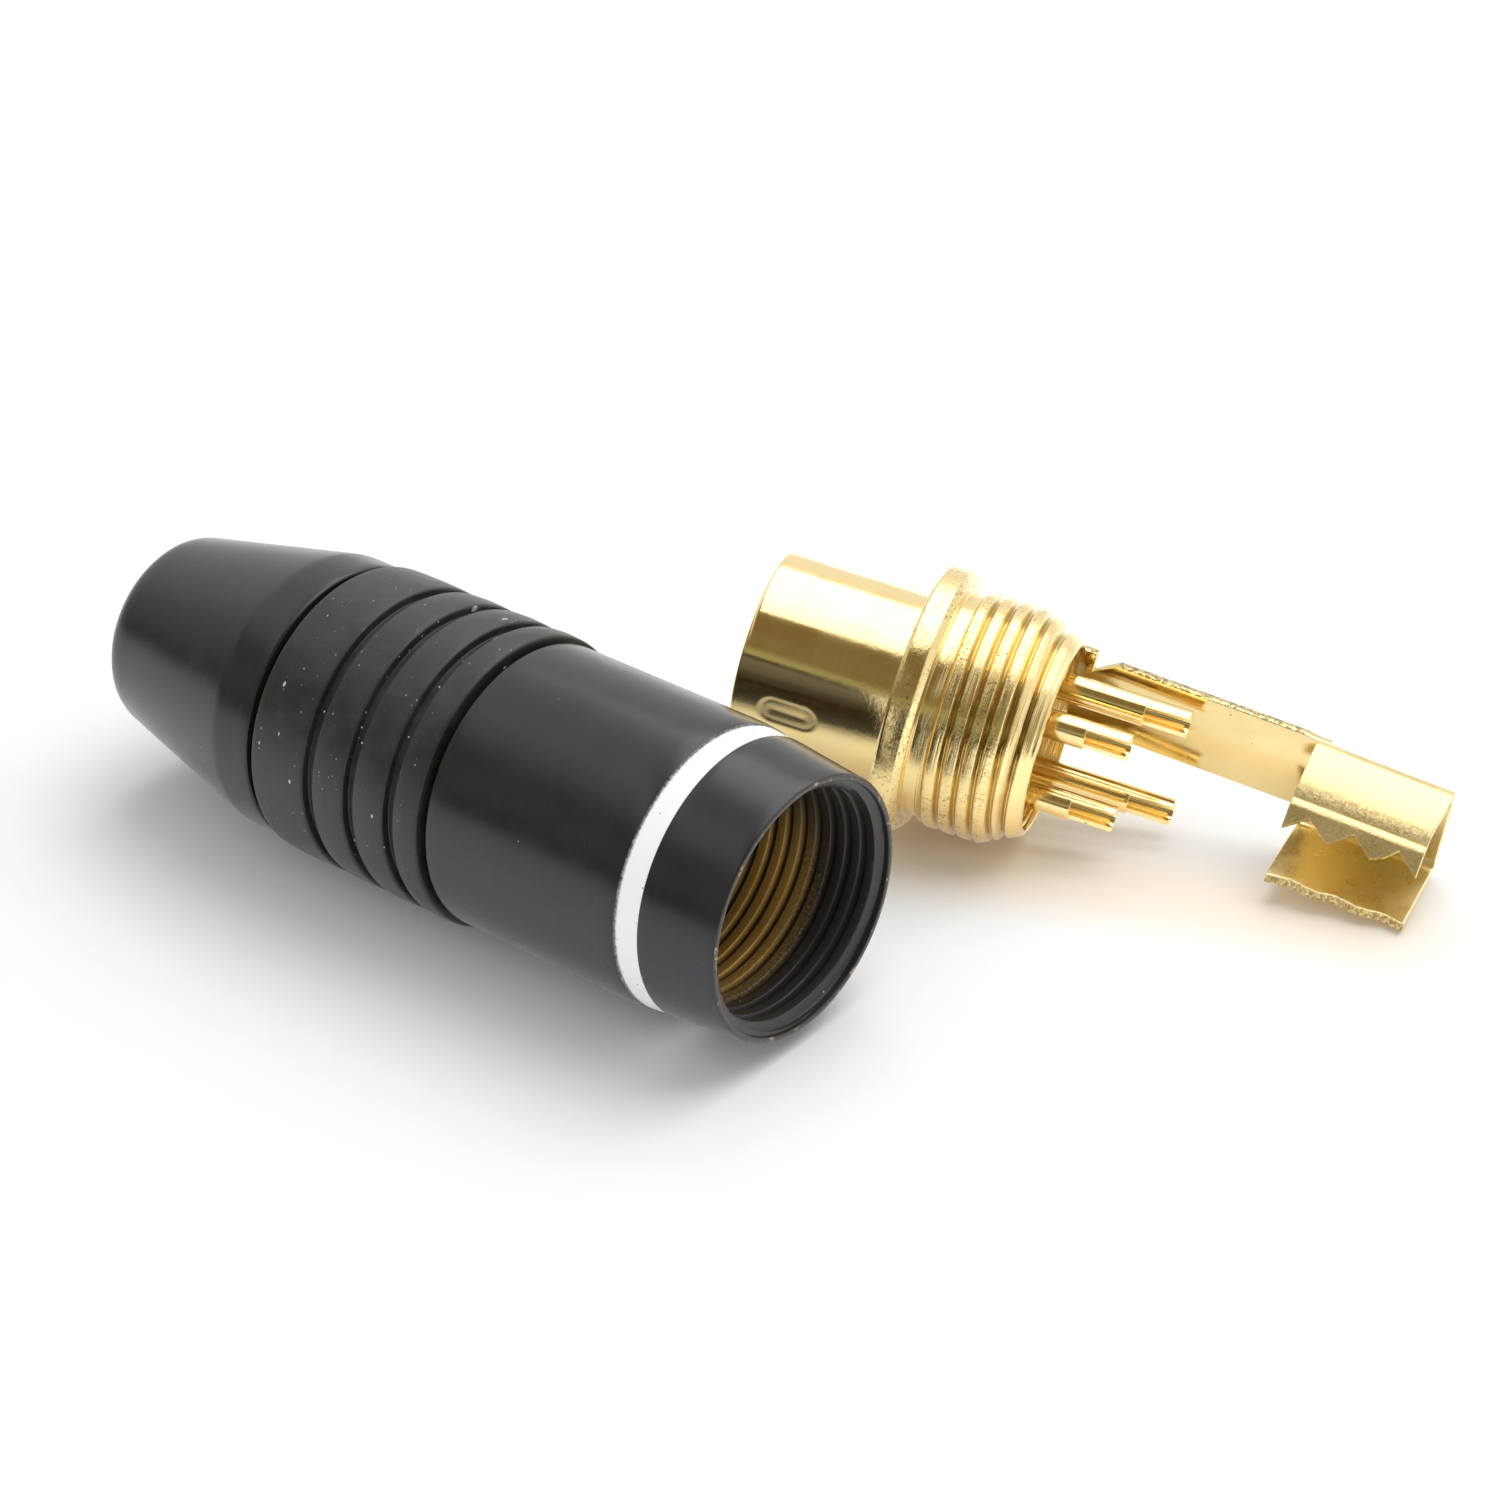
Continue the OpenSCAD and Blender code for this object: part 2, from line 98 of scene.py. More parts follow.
# Threads of the mouth and the collar
PITCH = 0.8
MOUTH_LEAD = 0.18
MOUTH_THREAD_END = 8.1
MOUTH_MAJOR_R = 5.63
MOUTH_MINOR_R = 5.18
THREAD_ROOT_R = 5.2
THREAD_CREST_R = 5.5
THREAD_AT = 1.9
THREAD_STEPS = 144
THREAD_ROUND = 0.03
THREAD_FADE = 0.3
MOUTH_FADE = 0.25

# Corners of one turn along the axis: start and end of the first flat, then of the second
MOUTH_TURN = (0, 0.44, 0.54, 0.68)
COLLAR_TURN = (0, 0.06, 0.21, 0.65)

# Core sizes, measured from the front face of its flange
SHIELD_R = 4.5
SHIELD_L = 7.2
SHIELD_WALL = 0.4
SHIELD_SEAT_L = 2.0
SHIELD_LIP_ROUND = 0.14
SHIELD_INNER_ROUND = 0.08
DIMPLE_COUNT = 3
DIMPLE_AT = 1.22
DIMPLE_L = 2.95
DIMPLE_W = 1.5
DIMPLE_DEPTH = 0.05
DIMPLE_EDGE = 0.26
DIMPLE_FLOOR_AT = 0.28
DIMPLE_FLOOR_DEPTH = 0.045
DIMPLE_FACING = math.pi + 0.04
COLLAR_L = 6.75
FLANGE_R = 6.125
FLANGE_L = 1.05
FLANGE_FRONT_EDGE = 0.15
FLANGE_REAR_EDGE = 0.3
NECK_AT = 1.35
NECK_ROUND = 0.06
RIM_AT = 4.9
RIM_R = 4.55
RIM_BAND_L = 0.75
RIM_STEP = 0.1
RIM_ROUND = 0.12
POCKET_R = 4.3
POCKET_AT = 3.65
POCKET_ROUND = 0.02
INSULATOR_REAR = 4.45

# Contacts
CONTACT_R = 0.5
CONTACT_TIP = 0.25
CONTACT_FRONT = -6.2
CUP_R = 0.67
CUP_BORE_R = 0.44
CUP_L = 2.0
CUP_SWEEP = 222
CUP_TURN = 18
CUP_ROUND = 0.04
CUP_LIP_ROUND = 0.03
CUP_OVERLAP = 0.1
CUP_INSET = 0.003
ROW_SPAN = 2.6
CONTACT_DROP = 0.35

# For each contact: its side, above or below, the height its pair spans, its reach behind the collar
CONTACTS = {
    "contact_upper_long": (1, 1, 4.75, 5.55),
    "contact_lower_long": (1, -1, 4.75, 5.8),
    "contact_upper_short": (-1, 1, 3.85, 3.57),
    "contact_lower_short": (-1, -1, 3.85, 3.65),
}

# Cable clamp, one folded sheet
SHEET_T = 0.45
STRIP_OFFSET = 3.85
STRIP_W = 3.7
STRIP_RISE = 0.8
STRIP_L = 11.3
STRIP_LEAN = 4.5
STRIP_DIP = 0.1
STRIP_DIP_L = 0.9
STRIP_DIP_END = 0.2
EAR_L = 0.5
EAR_H = 0.2
CLAMP_L = 6.4
CLAMP_H = 4.9
CLAMP_RISE = 0.05
CLAMP_TURN = 0.4
CLAMP_LIFT = 0.18
CLAMP_FLARE = 0.2
LOW_BEND = 0.95
TOP_BEND = 1.2
FLAP_ANGLE = 110
FLAP_L = 2.1
FLAP_BOW = 16
FLAP_TRIM = 0.15
DIP_L = 0.32
DIP_ANGLE = 12
RIDGE_L = 0.22
RIDGE_ANGLE = -26
CREASE_L = 0.3
CREASE_ANGLE = 32
TOOTH_L = 1.05
TOOTH_DEPTH = 0.8
TOOTH_NOTCHES = 3
WING_L = 5.4
WING_NOTCH = 0.25
ROOT_NOTCH = 0.75
ROOT_NOTCH_L = 1.1
CUT_ROUGH = 0.09
CUT_COARSE = 14
CUT_FINE = 40
WING_SEED = 3
TOOTH_SEED = 9

# Fineness of the meshes
ROUND_STEPS = 192
ROUND_EDGE_L = 0.5
SHIELD_STEPS = 288
SHIELD_EDGE_L = 0.09
CONTACT_STEPS = 48
CONTACT_EDGE_L = 0.4
CUP_STEPS = 36
CLAMP_CELLS_ALONG = 96
CLAMP_CELLS_ROUND = 190
CORNER_SEGMENTS = 4
SHARP = math.radians(40)
TUCK = 0.03
WELD = 1e-4
FINE_WELD = 1e-5

# Roundings that several pieces share
SOFT_BEND = 0.3
EDGE_BREAK = 0.05

# Colours
PAINT_DARK = (0.0125, 0.013, 0.0148)
PAINT_PALE = (0.0155, 0.016, 0.018)
RING_WHITE = (0.95, 0.96, 0.95)
DUST = (0.6, 0.6, 0.57)
RAW_BRASS = (0.6, 0.5, 0.33)
BRASS_DARK = (0.5, 0.28, 0.05)
BRASS_PALE = (1.0, 0.6, 0.16)
THREAD_PAINT = (0.03, 0.028, 0.025)
RUBBER_DARK = (0.014, 0.014, 0.014)
RUBBER_PALE = (0.026, 0.026, 0.026)
GOLD = (0.985, 0.78, 0.38)
GOLD_DEEP = (0.97, 0.75, 0.34)
GOLD_WAN = (0.82, 0.65, 0.32)
# painted light: a brighter gold for the inside face of the folded clamp
GOLD_INSIDE_PAINTED_LIGHT = (1.0, 0.84, 0.45)
GOLD_DULL = (0.78, 0.61, 0.29)
GOLD_DIRT = (0.16, 0.12, 0.06)
# painted shade: dark brown laid into the collar thread's grooves
GROOVE_PAINTED_SHADE = (0.36, 0.23, 0.07)
# stains, and the painted dark reflection in the band before the clamp's crease
SHEET_STAIN_AND_REFLECTION = (0.2, 0.16, 0.08)
PLASTIC = (0.72, 0.68, 0.58)
PLASTIC_DEEP = (0.62, 0.57, 0.46)
PAPER = (0.88, 0.88, 0.88)
PAPER_DEEP = (0.86, 0.86, 0.86)
PAPER_PAINTED_WARM_SHADE = (0.86, 0.78, 0.66)
PAPER_GLOW = (0.05, 0.05, 0.05)
MIRRORED_GLOW = (0.25, 0.25, 0.25)
ROOM_PALE = (0.95, 0.95, 0.95)
ROOM_LEFT = (1.5, 1.5, 1.58)
ROOM_DIM = (0.2, 0.155, 0.085)
ROOM_STREAK = (0.36, 0.36, 0.24)
ROOM_LOW = (0.06, 0.046, 0.028)
FILL_FRONT = (0.85, 0.85, 0.85)
FILL_REAR = (0.25, 0.25, 0.25)

# Painted warm shade and gold bounce light on the paper beside the core: its middle line and its soft
# edges, in millimetres
WARM_ASIDE = 3.2
WARM_EDGE = (0.5, 5.0)
WARM_FROM = (-5.0, 1.0)
WARM_TO = (22.0, 30.0)


def place(origin, axis):
    """Matrix of a piece worked in millimetres: x along the axis, z as near upright as it can be."""
    along = axis.normalized()
    aside = UP.cross(along).normalized()
    axes = Matrix((along, aside, along.cross(aside))).transposed().to_4x4()
    return Matrix.Translation(origin) @ axes @ Matrix.Scale(MM, 4)


barrel_low, barrel_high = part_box("barrel_shell")
barrel_mid = (barrel_low + barrel_high) / 2
BARREL = place(Vector((barrel_high.x, barrel_mid.y, barrel_mid.z)), Vector((-1, 0, 0)))

mounts = {mount["name"]: mount for mount in frame["record"]["mounts"]}
shield_mount = mounts["plug_shield"]
core_axis = -Vector(shield_mount["axis"])
shield_reach = shield_mount["dims"]["length_mm"] * MM / 2
CORE = place(Vector(shield_mount["pos_m"]) + core_axis * shield_reach, core_axis)
STRIP_AT = COLLAR_L + SHEET_T * math.sin(math.radians(STRIP_LEAN))
STRIP = (
    CORE
    @ Matrix.Translation((STRIP_AT, STRIP_OFFSET, 0))
    @ Matrix.Rotation(math.radians(-STRIP_LEAN), 4, "Z")
)


def smooth_step(value):
    """Soft ramp from 0 to 1."""
    share = min(max(value, 0), 1)
    return share * share * (3 - 2 * share)


def link_object(bm, name, material):
    """Object made from a bmesh and linked to the scene."""
    mesh = bpy.data.meshes.new(name)
    bm.to_mesh(mesh)
    bm.free()
    mesh.materials.append(material)
    made = bpy.data.objects.new(name, mesh)
    bpy.context.scene.collection.objects.link(made)
    return made


def finish(bm, name, matrix, material, node=None):
    """Turn a bmesh worked in millimetres into a shown piece in its place."""
    bmesh.ops.remove_doubles(bm, verts=bm.verts, dist=FINE_WELD)
    bmesh.ops.recalc_face_normals(bm, faces=bm.faces)
    bmesh.ops.transform(bm, matrix=matrix, verts=bm.verts)
    piece = link_object(bm, name, material)
    piece.data.shade_smooth()
    piece.data.set_sharp_from_angle(angle=SHARP)
    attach(piece, "root")
    if node:
        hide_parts(node)
    return piece


def of_kind(items, kind):
    """The vertices, or the edges, among the items that an operator made."""
    return [item for item in items if isinstance(item, kind)]


def sharp_edges(bm):
    """Edges whose two faces meet at more than the sharp angle."""
    return [edge for edge in bm.edges if edge.calc_face_angle(0) > SHARP]


def soften(bm, geom, offset, segments=2, affect="EDGES"):
    """Round these edges or, on a wire, these vertices."""
    bmesh.ops.bevel(
        bm,
        geom=geom,
        offset=offset,
        offset_type="OFFSET",
        segments=segments,
        profile=0.5,
        affect=affect,
        clamp_overlap=True,
        material=-1,
    )


def outline_wire(bm, corners, closed, longest):
    """Wire through (along, radius, rounding) corners, its corners rounded and its long edges split."""
    verts = [bm.verts.new((along, 0, radius)) for along, radius, _ in corners]
    pairs = list(zip(verts, verts[1:]))
    if closed:
        pairs.append((verts[-1], verts[0]))
    for pair in pairs:
        bm.edges.new(pair)
    for vert, (_, _, rounding) in zip(verts, corners):
        if rounding:
            soften(bm, [vert], rounding, CORNER_SEGMENTS, "VERTICES")
    for edge in list(bm.edges):
        cuts = int(edge.calc_length() / longest)
        if cuts:
            bmesh.ops.subdivide_edges(bm, edges=[edge], cuts=cuts)


def turned(corners, closed=True, longest=ROUND_EDGE_L, steps=ROUND_STEPS):
    """Body of revolution about x: an eighth is spun, then doubled three times."""
    bm = bmesh.new()
    outline_wire(bm, corners, closed, longest)
    bmesh.ops.spin(
        bm,
        geom=bm.verts[:] + bm.edges[:],
        cent=(0, 0, 0),
        axis=(1, 0, 0),
        angle=math.tau / 8,
        steps=steps // 8,
        use_merge=False,
    )
    for share in (8, 4, 2):
        made = bmesh.ops.duplicate(bm, geom=bm.verts[:] + bm.edges[:] + bm.faces[:])
        copied = of_kind(made["geom"], bmesh.types.BMVert)
        turn = Matrix.Rotation(math.tau / share, 3, "X")
        bmesh.ops.rotate(bm, verts=copied, cent=(0, 0, 0), matrix=turn)
    bmesh.ops.remove_doubles(bm, verts=bm.verts, dist=WELD)
    return bm


def axis_distance(vert):
    """Distance of a vertex from the x axis."""
    return math.hypot(vert.co.y, vert.co.z)


def set_radius(vert, radius):
    """Move a vertex square to the x axis, to the radius."""
    present = axis_distance(vert)
    vert.co.y *= radius / present
    vert.co.z *= radius / present


def helix(turn_outline, start, end, tucked, fade, rounding, spare=2):
    """Thread between start and end, run out over the fade length to the tucked radius and closed there."""
    bm = bmesh.new()
    turns = math.ceil((end - start) / PITCH) + 2 * spare
    verts = []
    for turn in range(turns):
        for along, radius in turn_outline:
            verts.append(bm.verts.new((start + (turn - spare) * PITCH + along, 0, radius)))
    for pair in zip(verts, verts[1:]):
        bm.edges.new(pair)
    soften(bm, verts[1:-1], rounding, affect="VERTICES")
    bmesh.ops.spin(
        bm,
        geom=bm.verts[:] + bm.edges[:],
        cent=(0, 0, 0),
        axis=(1, 0, 0),
        dvec=(PITCH / THREAD_STEPS, 0, 0),
        angle=math.tau,
        steps=THREAD_STEPS,
        use_merge=False,
    )
    bmesh.ops.remove_doubles(bm, verts=bm.verts, dist=WELD)
    for limit, way in ((start, -1), (end, 1)):
        bmesh.ops.bisect_plane(
            bm,
            geom=bm.verts[:] + bm.edges[:] + bm.faces[:],
            dist=FINE_WELD,
            plane_co=(limit, 0, 0),
            plane_no=(way, 0, 0),
            clear_outer=True,
        )
    for vert in bm.verts:
        radius = axis_distance(vert)
        share = smooth_step((vert.co.x - start) / fade) * smooth_step((end - vert.co.x) / fade)
        set_radius(vert, tucked + (radius - tucked) * share)
    rims = [edge for edge in bm.edges if edge.is_boundary]
    bmesh.ops.bridge_loops(bm, edges=rims)
    return bm


def mouth_outer_r(along):
    """Outer radius of the barrel on the taper behind its mouth."""
    return MOUTH_R + (BODY_R - MOUTH_R) * along / MOUTH_TAPER_L


def make_barrel(material):
    ring_end = RING_AT + RING_W
    body = [
        (0, MOUTH_R, MOUTH_ROUND),
        (RING_AT, mouth_outer_r(RING_AT), RING_ROUND),
        (RING_AT, mouth_outer_r(RING_AT) - RING_DEPTH, RING_ROUND),
        (ring_end, mouth_outer_r(ring_end) - RING_DEPTH, RING_ROUND),
        (ring_end, mouth_outer_r(ring_end), RING_ROUND),
        (MOUTH_TAPER_L, BODY_R, SOFT_BEND),
        (SEAT_AT, BODY_R, SEAT_ROUND),
        (SEAT_AT, SEAT_R, 0),
        (SEAT_END, SEAT_R, 0),
        (SEAT_END, SHOULDER_R, SEAT_END_ROUND),
        (TAIL_AT, SHOULDER_R, SHOULDER_ROUND),
        (BARREL_L, TAIL_R, TAIL_ROUND),
        (BARREL_L, CABLE_R, CABLE_ROUND),
        (BARREL_L - CABLE_BORE_L, CABLE_R, CABLE_END_ROUND),
        (FUNNEL_AT, CAVITY_R, SOFT_BEND),
        (MOUTH_THREAD_END, CAVITY_R, EDGE_BREAK),
        (MOUTH_THREAD_END, MOUTH_MAJOR_R + TUCK, 0),
        (0, MOUTH_MAJOR_R + TUCK, MOUTH_INNER_ROUND),
    ]
    return finish(turned(body), "barrel", BARREL, material, "barrel_shell")


def make_mouth_thread(material):
    radii = (MOUTH_MINOR_R, MOUTH_MINOR_R, MOUTH_MAJOR_R, MOUTH_MAJOR_R)
    turn = list(zip(MOUTH_TURN, radii))
    tucked = MOUTH_MAJOR_R + 2 * TUCK
    bm = helix(turn, MOUTH_LEAD, MOUTH_THREAD_END, tucked, MOUTH_FADE, EDGE_BREAK)
    return finish(bm, "mouth_thread", BARREL, material)


def make_sleeve(material):
    groove_r = SLEEVE_R - RIB_GROOVE
    body = []
    along = SLEEVE_AT
    for length in RIB_LENGTHS:
        rib_end = along + length - RIB_GAP
        if length == RIB_LENGTHS[-1]:
            rib_end = along + length
        body.append((along, SLEEVE_R - RIB_CROWN, RIB_ROUND))
        body.append((along + length * RIB_CROWN_SHARE, SLEEVE_R, SOFT_BEND))
        body.append((rib_end - length * RIB_CROWN_SHARE, SLEEVE_R, SOFT_BEND))
        body.append((rib_end, SLEEVE_R - RIB_CROWN, RIB_ROUND))
        along += length
        if length != RIB_LENGTHS[-1]:
            body.append((rib_end, groove_r, RIB_GROOVE_ROUND))
            body.append((along, groove_r, RIB_GROOVE_ROUND))
    body.append((SLEEVE_AT + SLEEVE_L, SEAT_R, EDGE_BREAK))
    body.append((SLEEVE_AT, SEAT_R, EDGE_BREAK))
    return finish(turned(body), "rubber_sleeve", BARREL, material, "grip_sleeve")


def oblong_distance(along, across):
    """Distance of a place on the shield from the outline of a dimple, positive inside."""
    half = DIMPLE_W / 2
    from_middle = along - (DIMPLE_AT - SHIELD_L + DIMPLE_L / 2)
    past_straight = max(abs(from_middle) - (DIMPLE_L / 2 - half), 0)
    return half - math.hypot(past_straight, across)


def dimple_depth(along, angle):
    """How far the shield's wall is pressed in at a place; the floor of a dimple is a shallow V."""
    depth = 0
    for index in range(DIMPLE_COUNT):
        middle = DIMPLE_FACING + index * math.tau / DIMPLE_COUNT
        off = (angle - middle + math.pi) % math.tau - math.pi
        inside = oblong_distance(along, off * SHIELD_R)
        pressed = smooth_step(inside / DIMPLE_EDGE)
        sloped = max((inside - DIMPLE_FLOOR_AT) / (DIMPLE_W / 2 - DIMPLE_FLOOR_AT), 0)
        depth += DIMPLE_DEPTH * pressed + DIMPLE_FLOOR_DEPTH * sloped
    return depth


def make_shield(material):
    body = [
        (-SHIELD_L, SHIELD_R, SHIELD_LIP_ROUND),
        (SHIELD_SEAT_L, SHIELD_R, EDGE_BREAK),
        (SHIELD_SEAT_L, SHIELD_R - SHIELD_WALL, EDGE_BREAK),
        (-SHIELD_L, SHIELD_R - SHIELD_WALL, SHIELD_INNER_ROUND),
    ]
    bm = turned(body, longest=SHIELD_EDGE_L, steps=SHIELD_STEPS)
    for vert in bm.verts:
        radius = axis_distance(vert)
        depth = dimple_depth(vert.co.x, math.atan2(vert.co.z, vert.co.y))
        if depth:
            set_radius(vert, radius - depth)
    return finish(bm, "shield", CORE, material, "front_shield")


def cone_drop(along):
    """How far the collar's rear cone lies below the crest of the thread."""
    return max((THREAD_CREST_R - RIM_R) * (along - RIM_AT) / (COLLAR_L - RIM_AT), 0)


def make_collar(material):
    band_at = COLLAR_L - RIM_BAND_L
    band_top = band_at + RIM_STEP
    bore_r = SHIELD_R - SHIELD_WALL
    body = [
        (0, SHIELD_R, EDGE_BREAK),
        (0, FLANGE_R - FLANGE_FRONT_EDGE, EDGE_BREAK),
        (FLANGE_FRONT_EDGE, FLANGE_R, EDGE_BREAK),
        (FLANGE_L, FLANGE_R, EDGE_BREAK),
        (NECK_AT, FLANGE_R - FLANGE_REAR_EDGE, NECK_ROUND),
        (NECK_AT, THREAD_ROOT_R, NECK_ROUND),
        (RIM_AT, THREAD_ROOT_R, EDGE_BREAK),
        (band_at, THREAD_ROOT_R - cone_drop(band_at), EDGE_BREAK),
        (band_top, THREAD_CREST_R - cone_drop(band_top), EDGE_BREAK),
        (COLLAR_L, RIM_R, RIM_ROUND),
        (COLLAR_L, POCKET_R, EDGE_BREAK),
        (POCKET_AT, POCKET_R, POCKET_ROUND),
        (POCKET_AT, bore_r, POCKET_ROUND),
        (SHIELD_SEAT_L, bore_r, 0),
        (SHIELD_SEAT_L, SHIELD_R, 0),
    ]
    return finish(turned(body), "collar", CORE, material, "threaded_collar")


def make_collar_thread(material):
    radii = (THREAD_ROOT_R, THREAD_ROOT_R, THREAD_CREST_R, THREAD_CREST_R)
    turn = list(zip(COLLAR_TURN, radii))
    end = COLLAR_L - RIM_BAND_L
    bm = helix(turn, THREAD_AT, end, THREAD_ROOT_R - TUCK, THREAD_FADE, THREAD_ROUND)
    for vert in bm.verts:
        radius = axis_distance(vert)
        set_radius(vert, radius - cone_drop(vert.co.x))
    return finish(bm, "collar_thread", CORE, material)


def make_contact(node, material):
    aside, above, span, reach = CONTACTS[node]
    end = COLLAR_L + reach
    cup_at = end - CUP_L
    pin = [
        (CONTACT_FRONT, 0, 0),
        (CONTACT_FRONT, CONTACT_R, CONTACT_TIP),
        (INSULATOR_REAR, CONTACT_R, 0),
        (INSULATOR_REAR, CUP_R, CUP_ROUND),
        (cup_at, CUP_R, CUP_ROUND),
        (cup_at, 0, 0),
    ]
    bm = turned(pin, closed=False, longest=CONTACT_EDGE_L, steps=CONTACT_STEPS)
    wall_at = cup_at - CUP_OVERLAP
    wall_r = CUP_R - CUP_INSET
    wall = ((wall_at, CUP_BORE_R), (wall_at, wall_r), (end, wall_r), (end, CUP_BORE_R))
    # the wall lies towards +y and leaves the side that faces -y, and a little down, open
    start = Matrix.Rotation(math.radians(CUP_TURN - 90 - CUP_SWEEP / 2), 3, "X")
    verts = [bm.verts.new(start @ Vector((along, 0, radius))) for along, radius in wall]
    face = bm.faces.new(verts)
    rim = list(face.edges)
    made = bmesh.ops.spin(
        bm,
        geom=verts + rim,
        cent=(0, 0, 0),
        axis=(1, 0, 0),
        angle=math.radians(CUP_SWEEP),
        steps=CUP_STEPS,
        use_merge=False,
    )
    bmesh.ops.contextual_create(bm, geom=of_kind(made["geom_last"], bmesh.types.BMEdge))
    bmesh.ops.remove_doubles(bm, verts=bm.verts, dist=WELD)
    lips = [edge for edge in sharp_edges(bm) if edge.verts[0].co.x > cup_at]
    soften(bm, lips, CUP_LIP_ROUND)
    position = Matrix.Translation((0, aside * ROW_SPAN / 2, above * span / 2 - CONTACT_DROP))
    return finish(bm, node + "_pin", CORE @ position, material, node)


# Length and turn of each stretch of the clamp's outer face, from the wing's edge to the teeth
CLAMP_STRETCHES = (
    (WING_L - LOW_BEND, 0),
    (LOW_BEND * math.pi / 2, 90),
    (CLAMP_H - LOW_BEND - TOP_BEND, 0),
    (TOP_BEND * math.radians(FLAP_ANGLE), FLAP_ANGLE),
    (FLAP_L, FLAP_BOW),
    (DIP_L, DIP_ANGLE),
    (RIDGE_L, RIDGE_ANGLE),
    (CREASE_L, CREASE_ANGLE),
    (TOOTH_L, 0),
)
CLAMP_RUN = sum(length for length, _ in CLAMP_STRETCHES)
CREASE_RUN = CLAMP_RUN - TOOTH_L - CREASE_L
FLAP_RUN = CREASE_RUN - RIDGE_L - DIP_L - FLAP_L
CLAMP_BOTTOM = CLAMP_RISE - CLAMP_H / 2


def folded(distance, depth):
    """Place (y, z) at a distance from the wing's edge and a depth under the sheet's outer face."""
    y, z, heading = -WING_L, CLAMP_BOTTOM, 0.0
    for length, turn in CLAMP_STRETCHES:
        step = min(distance, length)
        if turn:
            radius = length / math.radians(turn)
            after = heading + step / radius
            y += radius * (math.sin(after) - math.sin(heading))
            z += radius * (math.cos(heading) - math.cos(after))
            heading = after
        else:
            y += step * math.cos(heading)
            z += step * math.sin(heading)
        distance -= step
    return y - depth * math.sin(heading), z + depth * math.cos(heading)


def notch_wave(share, count):
    """Zigzag across the clamp's length: 0 at the points, 1 in the notches."""
    phase = share * count % 1
    return 1 - abs(2 * phase - 1)


def rough_cut(share, seed):
    """Unevenness of a cut edge, a small length either way."""
    coarse = noise.noise(Vector((share * CUT_COARSE, seed, 0)))
    fine = noise.noise(Vector((share * CUT_FINE, seed, 0)))
    return CUT_ROUGH * (coarse + fine / 2)


def make_clamp(material):
    bm = bmesh.new()
    bmesh.ops.create_grid(bm, x_segments=CLAMP_CELLS_ALONG, y_segments=CLAMP_CELLS_ROUND, size=0.5)
    for vert in bm.verts:
        share = vert.co.x + 0.5
        notch = notch_wave(share, TOOTH_NOTCHES)
        low = WING_NOTCH * notch + rough_cut(share, WING_SEED)
        high = CLAMP_RUN - TOOTH_DEPTH * notch + rough_cut(share, TOOTH_SEED)
        run = low + (high - low) * (vert.co.y + 0.5)
        trim = FLAP_TRIM * smooth_step((run - FLAP_RUN) / FLAP_L)
        vert.co = Vector((share * (CLAMP_L - trim), run, 0))
    bmesh.ops.recalc_face_normals(bm, faces=bm.faces)
    bmesh.ops.solidify(bm, geom=bm.faces[:], thickness=-SHEET_T)
    soften(bm, sharp_edges(bm), EDGE_BREAK)
    sheet = bm.loops.layers.uv.new("sheet")
    side = bm.loops.layers.uv.new("side")
    for face in bm.faces:
        for loop in face.loops:
            loop[sheet].uv = loop.vert.co.xy
            loop[side].uv = (loop.vert.co.z / SHEET_T, 0)
    for vert in bm.verts:
        y, z = folded(vert.co.y, vert.co.z)
        flare = CLAMP_FLARE * (1 - vert.co.x / CLAMP_L) * (z - CLAMP_BOTTOM) / CLAMP_H
        vert.co = Vector((vert.co.x, y, z + flare - CLAMP_BOTTOM))
    turn = Matrix.Rotation(math.radians(-CLAMP_TURN), 4, "Y")
    hold = Matrix.Translation((STRIP_L, 0, CLAMP_BOTTOM + CLAMP_LIFT))
    bmesh.ops.transform(bm, matrix=hold @ turn, verts=bm.verts)
    return finish(bm, "clamp_roll", STRIP, material, "cable_clamp")


def make_strip(material):
    low = STRIP_RISE - STRIP_W / 2
    high = STRIP_RISE + STRIP_W / 2
    reach = STRIP_L + SHEET_T
    outline = (
        (-EAR_L / 2, low),
        (reach, low),
        (reach, high - STRIP_DIP),
        (STRIP_L - STRIP_DIP_END, high - STRIP_DIP),
        (STRIP_L - STRIP_DIP_L, high),
        (ROOT_NOTCH_L + EAR_L, high),
        (EAR_L, high - ROOT_NOTCH),
        (EAR_L, high + EAR_H),
        (-EAR_L / 2, high + EAR_H),
    )
    bm = bmesh.new()
    face = bm.faces.new([bm.verts.new((along, 0, height)) for along, height in outline])
    made = bmesh.ops.extrude_face_region(bm, geom=[face])
    moved = of_kind(made["geom"], bmesh.types.BMVert)
    bmesh.ops.translate(bm, verts=moved, vec=(0, -SHEET_T, 0))
    bmesh.ops.recalc_face_normals(bm, faces=bm.faces)
    soften(bm, sharp_edges(bm), EDGE_BREAK)
    return finish(bm, "clamp_strip", STRIP, material)


